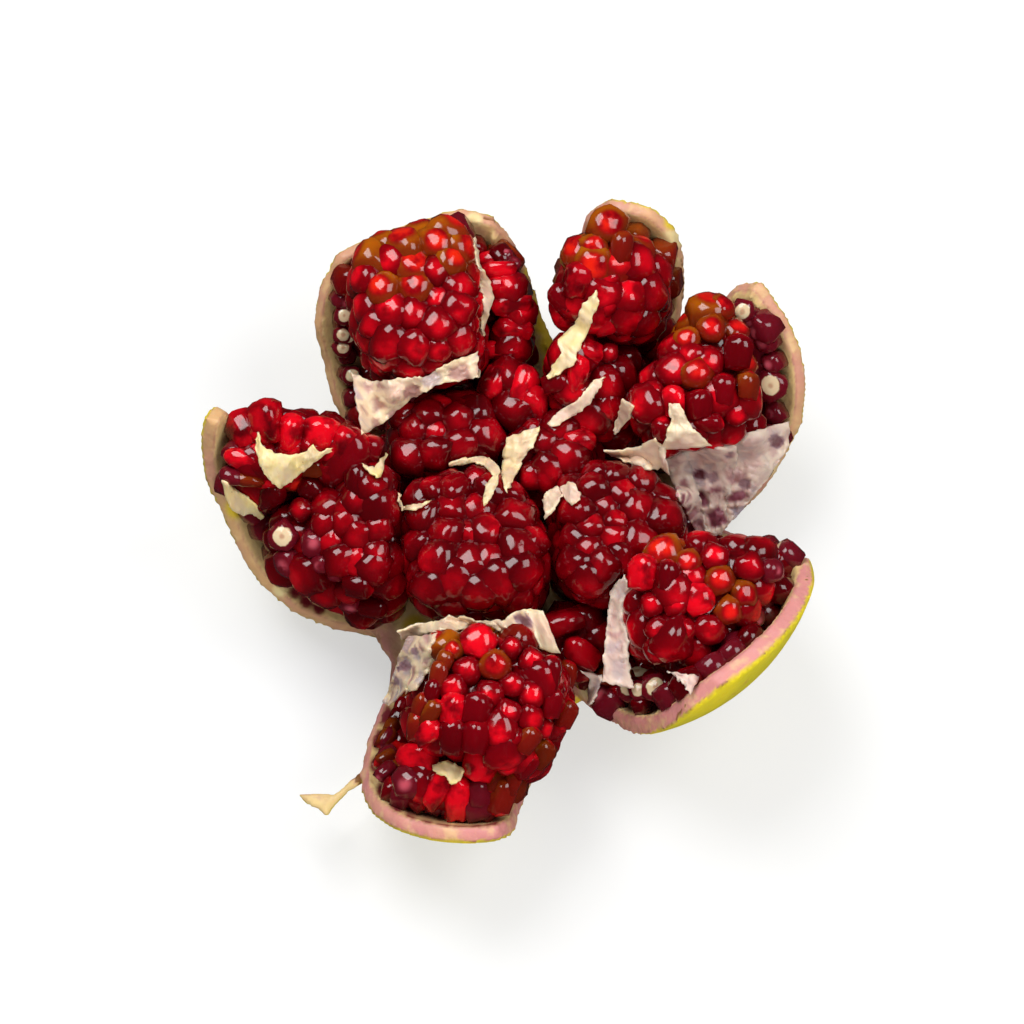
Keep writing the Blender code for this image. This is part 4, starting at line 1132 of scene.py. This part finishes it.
membranes = {
    # node: sheets, each between two torn edges: across and down in the photograph's pixels, and
    # height in millimetres over what lies behind
    "septum_upper_left_ridge": [
        [[(474, 238, .3), (477, 262, .4), (480, 285, .5), (483, 305, .5), (482, 325, .5),
          (477, 345, .5), (472, 360, .4)],
         [(476, 238, .5), (480, 262, .8), (490, 282, 1), (494, 297, 1.2), (488, 318, 1),
          (483, 338, .8), (478, 378, .5)]],
    ],
    "septum_upper_left_foot": [
        [[(352, 372, -.5), (372, 381, .2), (398, 379, .6), (425, 377, .8), (452, 362, .8),
          (478, 352, .3)],
         [(362, 434, .5), (372, 430, 1), (392, 416, 1.5), (412, 398, 2), (440, 384, 2),
          (478, 377, 1)]],
    ],
    "placenta_upper_right": [
        [[(596, 291, .8), (581, 306, 1), (575, 324, 1), (557, 339, .6), (562, 352, .6),
          (546, 376, .4)],
         [(600, 301, .8), (591, 320, 1.2), (588, 333, 1.2), (579, 350, 1.2), (572, 366, 1),
          (548, 379, .4)]],
    ],
    "septum_centre_back": [
        [[(606, 377, .5), (596, 379, .8), (585, 392, 1.2), (575, 402, 1.5), (560, 410, 1.2),
          (548, 423, .8)],
         [(603, 380, .5), (598, 392, 1.2), (588, 405, 1.5), (578, 413, 1.5), (565, 421, 1.2),
          (552, 427, .6)]],
        [[(622, 398, .8), (618, 412, .8), (613, 430, .5)],
         [(634, 406, .8), (628, 420, .6), (615, 434, .4)]],
    ],
    "septum_centre_flap": [
        [[(507, 437, 1.5), (503, 455, 1.2), (501, 475, .8), (506, 492, .3)],
         [(540, 426, 1.5), (532, 448, 1.5), (522, 460, 1.2), (511, 485, .5)]],
        [[(448, 463, .4), (470, 457, .8), (491, 459, .8), (501, 470, .8), (495, 490, .5),
          (488, 504, .2)],
         [(450, 467, .2), (472, 463, .5), (486, 467, .6), (492, 476, .6), (484, 492, .4),
          (483, 506, .2)]],
        [[(398, 493, .6), (401, 506, .8), (415, 505, .6), (431, 500, .3)],
         [(401, 494, .3), (401, 511, .4), (416, 510, .3), (430, 503, .1)]],
    ],
    "septum_centre_right": [
        [[(542, 500, .5), (548, 489, 1.2), (556, 486, 1.5), (560, 489, 1.5)],
         [(545, 520, .4), (552, 513, .8), (557, 505, 1), (561, 494, 1.2)]],
        [[(560, 488, 1.5), (570, 480, 1.5), (576, 486, 1.2), (581, 494, .8)],
         [(562, 494, 1.2), (566, 501, 1), (572, 506, .6), (580, 498, .5)]],
    ],
    "placenta_left": [
        [[(257, 432, .6), (263, 447, 1), (275, 453, 1.6), (290, 455, 1.6), (303, 453, 1.4),
          (313, 445, 1.4), (318, 452, 1.2), (332, 447, .6)],
         [(255, 447, .3), (260, 466, .6), (268, 479, .8), (280, 489, .6), (292, 481, .8),
          (303, 471, .8), (313, 464, .8), (331, 451, .5)]],
        [[(222, 481, .5), (233, 487, .8), (246, 497, 1), (256, 507, .8), (263, 517, .5)],
         [(228, 505, .5), (236, 512, .8), (244, 516, .8), (252, 514, .6), (262, 521, .4)]],
        [[(361, 463, .6), (375, 467, .8), (386, 452, .8)],
         [(363, 467, .5), (380, 479, .6), (388, 454, .6)]],
    ],
    "septum_right_foot": [
        [[(604, 450, .4), (622, 449, .8), (640, 446, 1), (655, 438, 1), (664, 446, 1)],
         [(620, 460, .3), (635, 466, .5), (650, 470, .5), (662, 468, .6), (670, 474, .8)]],
        [[(668, 404, .4), (671, 420, .8), (667, 438, 1), (660, 450, 1)],
         [(680, 404, .3), (689, 424, .6), (700, 434, .8), (712, 447, .6)]],
    ],
    "septum_right": [
        [[(655, 441, .6), (663, 456, 1), (672, 480, 1), (684, 508, 1), (700, 540, .4)],
         [(676, 436, 1), (689, 458, 1), (697, 485, .8), (703, 510, .8), (708, 540, .4)]],
        [[(672, 437, 1), (687, 458, 1), (695, 485, .8), (702, 510, .8), (706, 540, .4)],
         [(735, 437, 1), (738, 458, .8), (733, 485, .6), (725, 510, .6), (714, 538, .3)]],
        [[(732, 437, 1), (736, 458, .8), (731, 485, .6), (723, 510, .6), (712, 538, .3)],
         [(790, 421, .6), (789, 445, .5), (774, 470, .4), (755, 495, .4), (722, 532, .2)]],
    ],
    "septum_lower_right": [
        [[(624, 575, .5), (610, 590, 1), (607, 620, 1.2), (605, 650, 1), (602, 682, .5)],
         [(631, 592, .5), (629, 605, .8), (627, 630, .8), (628, 655, .6), (633, 689, .4)]],
        [[(580, 671, .6), (590, 679, .6), (586, 702, .3)],
         [(602, 676, .4), (598, 690, .4), (590, 706, .2)]],
        [[(668, 671, .4), (684, 674, .6), (698, 677, .4)],
         [(680, 680, .3), (687, 690, .5), (690, 694, .3)]],
    ],
    "septum_bottom_back": [
        [[(397, 632, .5), (415, 625, .6), (435, 621, .8), (450, 617, .8), (480, 621, .8),
          (500, 621, .8), (515, 613, 1.2), (530, 608, 1.5), (543, 611, 1.5)],
         [(402, 639, .4), (420, 635, .6), (440, 632, .8), (452, 631, .6), (485, 626, .6),
          (503, 631, .6), (520, 643, 1), (538, 649, 1.2), (560, 653, .4)]],
    ],
    "placenta_bottom": [
        [[(432, 765, .4), (445, 760, 1.2), (455, 762, 1.4), (463, 770, .8)],
         [(436, 774, .4), (446, 776, 1), (452, 783, 1), (461, 779, .6)]],
    ],
    "septum_bottom": [
        [[(408, 636, .5), (399, 655, 1), (393, 675, 1), (384, 702, .5)],
         [(456, 632, .5), (442, 650, 1), (430, 670, 1), (388, 705, .5)]],
        [[(425, 677, .5), (417, 691, .8), (405, 689, .6)],
         [(421, 676, .4), (411, 683, .5), (406, 695, .5)]],
    ],
}

membraneLooks = {
    # how yellow a sheet is, and how strongly its net of cells shows from one height of the
    # photograph to another
    "septum_right": (0.04, 0.35, 1.0, 450, 495),
    "septum_bottom": (0.35, 0.75, 0.75, 0, 1),
    "septum_upper_left_foot": (0.3, 0.7, 0.7, 0, 1),
    "septum_lower_right": (0.05, 0.5, 0.5, 0, 1),
    "septum_bottom_back": (0.3, 0.1, 0.1, 0, 1),
    "septum_upper_left_ridge": (0.3, 0.1, 0.1, 0, 1),
    "septum_centre_flap": (0.5, 0.1, 0.1, 0, 1),
    "placenta_left": (0.6, 0, 0, 0, 1),
    "placenta_bottom": (0.6, 0, 0, 0, 1),
    "placenta_upper_right": (0.5, 0, 0, 0, 1),
}

windows = {
    # thin or open places in the sheets: across, down, radius in the photograph's pixels, and how
    # far the fruit behind shows through, painted on the sheet as its dark red with painted shade
    "septum_right": [(700, 474, 8, 0.95), (731, 455, 5, 0.5), (776, 441, 9, 0.8),
                     (668, 455, 4, 0.5), (712, 478, 6, 0.4), (745, 484, 7, 0.45)],
    "septum_bottom": [(404, 667, 7, 0.7), (415, 651, 5, 0.5), (396, 682, 5, 0.5)],
    "septum_bottom_back": [(526, 622, 6, 0.8), (519, 618, 4, 0.6)],
}

septumColours = {
    "cream": (0.84, 0.65, 0.54),
    "yellow": (0.88, 0.66, 0.20),
    "thin": (0.68, 0.46, 0.41),
    "rose": (0.66, 0.32, 0.32),
    "cellPink": (0.52, 0.26, 0.27),
    "cellPurple": (0.26, 0.07, 0.10),
    "cellGrey": (0.42, 0.34, 0.37),
    "brown": (0.26, 0.12, 0.04),
    "veil": (0.34, 0.20, 0.22),
    # the fruit seen through an open place: its own dark red with painted shade
    "pit": (0.10, 0.008, 0.018),
}


def septumMaterial():
    material, tree, shader = newMaterial("septum")
    blotch, grain = addMottle(tree, 160.0, 900.0)
    fine, _ = addMottle(tree, 520.0, 300.0)
    c = septumColours
    ripe = times(tree, field(tree, "ripe"), remap(tree, blotch, 0.35, 0.6, 0.6, 1.0))
    edge = blend(tree, times(tree, remap(tree, fine, 0.35, 0.65), ripe), c["cream"], c["yellow"])
    place = addNode(tree, "ShaderNodeTexCoord").outputs["Object"]
    wander = addNode(tree, "ShaderNodeTexNoise", {"Vector": place, "Scale": 300.0})
    bend = addNode(tree, "ShaderNodeVectorMath", {
        0: wander.outputs["Color"], 1: (1.0 * mm,) * 3, 2: place}, operation="MULTIPLY_ADD")
    cells, walls = (addNode(tree, "ShaderNodeTexVoronoi", {
        "Vector": bend.outputs[0], "Scale": 260.0}, feature=feature)
        for feature in ("F1", "DISTANCE_TO_EDGE"))
    tone = addNode(tree, "ShaderNodeSeparateColor", {0: cells.outputs["Color"]}).outputs
    cell = layered(
        tree, c["cellPink"],
        (remap(tree, tone[0], 0.3, 0.6), c["cellPurple"]),
        (remap(tree, tone[1], 0.55, 0.75), c["cellGrey"]))
    hollow = times(tree, remap(tree, walls.outputs["Distance"], 0.04, 0.3), field(tree, "net"))
    pit = field(tree, "pit")
    colour = layered(
        tree, c["thin"],
        (remap(tree, blotch, 0.40, 0.62), c["cream"]),
        (remap(tree, fine, 0.5, 0.75, 0.0, 0.5), c["rose"]),
        (field(tree, "rim"), edge),
        (ripe, c["yellow"]),
        (hollow, cell),
        (remap(tree, grain, 0.68, 0.8, 0.0, 0.7), c["brown"]),
        # the fruit behind thin or open places: its own red, darkened by painted shade in the holes
        (remap(tree, pit, 0.0, 0.5), c["veil"]),
        (remap(tree, pit, 0.5, 1.0), c["pit"]))
    setSockets(tree, shader, {
        "Base Color": colour,
        "Roughness": remap(tree, fine, 0.3, 0.7, 0.3, 0.5),
        "Subsurface Weight": 0.3,
        "Subsurface Radius": (1.0, 0.55, 0.35),
        "Subsurface Scale": 1.2 * mm,
    })
    addBump(tree, reckon(tree, "MULTIPLY_ADD", hollow, -2.0, fine), 0.5, 0.3 * mm, shader)
    return material


def alongLine(points, shares):
    # points at even shares of a line's length
    run = np.concatenate([[0], np.cumsum(np.linalg.norm(np.diff(points[:, :2], axis=0), axis=1))])
    return np.stack([np.interp(shares * run[-1], run, points[:, k]) for k in range(3)], axis=1)


def neighbours(values, edge):
    padded = np.pad(values, 1, **edge)
    return np.stack([padded[:-2, 1:-1], padded[2:, 1:-1], padded[1:-1, :-2], padded[1:-1, 2:]])


def depthOf(tree, spread):
    # how far a surface lies behind each place of a sheet, spread into the places that miss it
    depth = np.full(spread.shape[:2], np.nan)
    for i, j in np.ndindex(depth.shape):
        hit = tree.ray_cast(Vector(viewEye), lineOfSight(*spread[i, j, :2]))
        if hit[0] is not None:
            depth[i, j] = hit[3]
    while np.isnan(depth).any() and not np.isnan(depth).all():
        around = neighbours(depth, {"constant_values": np.nan})
        known = ~np.isnan(around)
        spreading = np.isnan(depth) & known.any(axis=0)
        mean = np.where(known, around, 0).sum(axis=0) / np.maximum(known.sum(axis=0), 1)
        depth[spreading] = mean[spreading]
    return depth


def drapedLevel(spread, behind, solid, tuck):
    # how far from the eye a sheet lies: eased over its own solid and what is behind, and under
    # whatever stands well in front of that solid
    depth, own = depthOf(behind, spread), solid and depthOf(solid, spread)
    if solid and not np.isnan(own).all():
        depth = np.where(depth < own - tuck, own, np.minimum(depth, own))
    bulge = np.sin(np.pi * np.linspace(0, 1, depth.shape[1])) * membraneShape["bulge"]
    level = depth - spread[..., 2] * mm - bulge
    fall = membraneShape["slope"] * membraneShape["step"]
    for _ in range(sum(depth.shape)):
        level = np.minimum(level, neighbours(level, {"mode": "edge"}).min(axis=0) + fall)
    for _ in range(membraneShape["draping"]):
        eased = neighbours(level, {"mode": "edge"}).mean(axis=0)
        level = np.minimum(0.5 * level + 0.5 * eased, depth - membraneShape["clearance"])
    return level


def sheetBetween(first, second, behind, solid, tuck, seed):
    # a thin crumpled sheet between two lines of the photograph
    first, second = np.array(first, float), np.array(second, float)
    length = max(np.linalg.norm(np.diff(line[:, :2], axis=0), axis=1).sum()
                 for line in (first, second))
    width = np.linalg.norm(first[:, :2].mean(axis=0) - second[:, :2].mean(axis=0))
    step = membraneShape["step"] * view["pixelsPerMetre"]
    rows, columns = max(4, int(width / step) + 1), max(6, int(length / step) + 1)
    along, across = np.linspace(0, 1, columns), np.linspace(0, 1, rows)
    a, b = alongLine(first, along), alongLine(second, along)
    spread = a[:, None] * (1 - across[None, :, None]) + b[:, None] * across[None, :, None]
    place = np.dstack([spread[..., :2], np.full(spread.shape[:2], seed)]).reshape(-1, 3) * mm

    def wander(size, number, octaves):
        return noiseField(place, size, seed + number, octaves).reshape(columns, rows)

    for axis in (0, 1):
        spread[..., axis] += wander(5 * mm, axis + 1, 4) * 2 * membraneShape["ragged"]
    level = drapedLevel(spread, behind, solid, tuck)
    rays = np.array([[lineOfSight(*spread[i, j, :2]) for j in range(rows)]
                     for i in range(columns)])
    fold = wander(9 * mm, 3, 3)
    points = viewEye + rays * (level - np.abs(fold) * 2 * membraneShape["crumple"])[..., None]
    faces = [(i * rows + j, (i + 1) * rows + j, (i + 1) * rows + j + 1, i * rows + j + 1)
             for i in range(columns - 1) for j in range(rows - 1)]
    rim = np.maximum(smoothStep(np.abs(across - 0.5)[None] * 2, 0.55, 1.0),
                     smoothStep(np.abs(fold), 0.25, 0.0) * 0.4)
    return points.reshape(-1, 3), faces, np.broadcast_to(rim, fold.shape).ravel()


def whatLiesBehind():
    # the finished arils and rind, as one surface for the sheets to lie on
    points, faces, start = [], [], 0
    for piece in scene.objects:
        if piece.type == "MESH" and piece.name.startswith(("arils", "openRind")):
            if piece.name in frame["nodes"]:
                continue
            own = pointsOf(piece.data)
            points.extend(own.tolist())
            faces.extend([tuple(v + start for v in p.vertices) for p in piece.data.polygons])
            start += len(own)
    return BVHTree.FromPolygons(points, faces)


def makeMembranes(material):
    behind = whatLiesBehind()
    for number, (nodeName, sheets) in enumerate(membranes.items()):
        points, faces, rims = [], [], []
        wide = nodeName.startswith("septum")      # a placenta lies on the arils alone
        solid = treeOf(frame["nodes"][nodeName].data) if wide else None
        tuck = membraneShape["deepTuck" if nodeName == "septum_right" else "tuck"]
        for k, (first, second) in enumerate(sheets):
            own, ownFaces, rim = sheetBetween(first, second, behind, solid, tuck,
                                              membraneShape["seed"] + 7 * number + k)
            faces += [tuple(v + len(points) for v in face) for face in ownFaces]
            points += own.tolist()
            rims += rim.tolist()
        mesh = bpy.data.meshes.new(pieceName(nodeName))
        mesh.from_pydata(points, [], faces)
        if sum(p.normal @ Vector(viewBack) for p in mesh.polygons) < 0:
            mesh.flip_normals()
        places = toPhoto(np.array(points))
        pit = np.zeros(len(points))
        wobble = noiseField(np.array(points), 3 * mm, 77)
        yellow, above, below, top, bottom = membraneLooks.get(nodeName, (0.25, 0.1, 0.1, 0, 1))
        writeFloats(mesh, "ripe", np.full(len(points), yellow))
        writeFloats(mesh, "net", above + (below - above) * smoothStep(places[:, 1], top, bottom))
        for x, y, reach, deep in windows.get(nodeName, []):
            near = pixelsFrom(places, x, y) + 3.6 * wobble
            pit = np.maximum(pit, deep * smoothStep(near, reach, reach * 0.55))
        sunk = np.array(points) - viewBack * (pit * 0.8 * mm)[:, None]
        movePoints(mesh, sunk)
        writeFloats(mesh, "rim", np.maximum(rims, 0.75 * nodeName.startswith("placenta")))
        writeFloats(mesh, "pit", pit)
        piece = newObject(pieceName(nodeName), mesh)
        wall = piece.modifiers.new("wall", "SOLIDIFY")
        wall.thickness = membraneShape["thickness"]
        wall.offset = -1
        piece = asPlainMesh(piece, pieceName(nodeName))
        finish(piece, [nodeName], material)


makeMembranes(septumMaterial())
print("septa made")


# floor, light and air
light = {
    "key": {"at": (-0.20, 0.26, 0.62), "size": 0.38, "power": 3.9, "mirrored": True},
    "fill": {"at": (0.40, 0.10, 0.60), "size": 0.34, "power": 2.2, "mirrored": True},
    "front": {"at": (0.10, -0.50, 0.40), "size": 0.50, "power": 2.0, "mirrored": False},
    "air": 0.26,
    "mirroredAir": 0.03,   # what the fruit mirrors besides the lamp
    "paleAir": 0.9,        # what the camera sees past the floor
    "floorSize": 6.0,
    "floor": 0.42,
    "mirroredFloor": 0.025,
    "floorGlow": 0.5,      # keeps the shadows on the floor pale
}


def placeLamps():
    for name in ("key", "fill", "front"):
        lamp = bpy.data.lights.new(name, "AREA")
        lamp.shape = "SQUARE"
        lamp.size = light[name]["size"]
        lamp.energy = light[name]["power"]
        holder = bpy.data.objects.new(name, lamp)
        holder.location = light[name]["at"]
        holder.visible_glossy = light[name]["mirrored"]
        aim = Vector((0, 0, 0.03)) - holder.location
        holder.rotation_euler = aim.to_track_quat("-Z", "Y").to_euler()
        scene.collection.objects.link(holder)


def fillAir():
    world = bpy.data.worlds.new("studio")
    world.use_nodes = True
    tree = world.node_tree
    ray = addNode(tree, "ShaderNodeLightPath").outputs
    seen = remap(tree, ray["Is Camera Ray"], 0, 1, light["air"], light["paleAir"])
    darker = times(tree, ray["Is Glossy Ray"], light["mirroredAir"] - light["air"])
    setSockets(tree, tree.nodes["Background"], {
        "Color": (1, 1, 1, 1), "Strength": reckon(tree, "ADD", seen, darker)})
    scene.world = world
    scene.view_settings.view_transform = "Standard"


def layFloor():
    mesh = bpy.data.meshes.new("floor")
    half = light["floorSize"] / 2
    mesh.from_pydata([(-half, -half, 0), (half, -half, 0), (half, half, 0), (-half, half, 0)], [],
                     [(0, 1, 2, 3)])
    floor = newObject("floor", mesh)
    paint, tree, shader = newMaterial("paleFloor")
    ray = addNode(tree, "ShaderNodeLightPath").outputs
    setSockets(tree, shader, {
        "Base Color": blend(tree, ray["Is Glossy Ray"], (light["floor"],) * 3,
                            (light["mirroredFloor"],) * 3),
        "Emission Color": blend(tree, ray["Is Camera Ray"], (0, 0, 0),
                                (light["floorGlow"],) * 3),
        "Emission Strength": 1,
        "Roughness": 0.9,
        "Specular IOR Level": 0,
    })
    mesh.materials.append(paint)


placeLamps()
fillAir()
layFloor()
print("light and floor set")
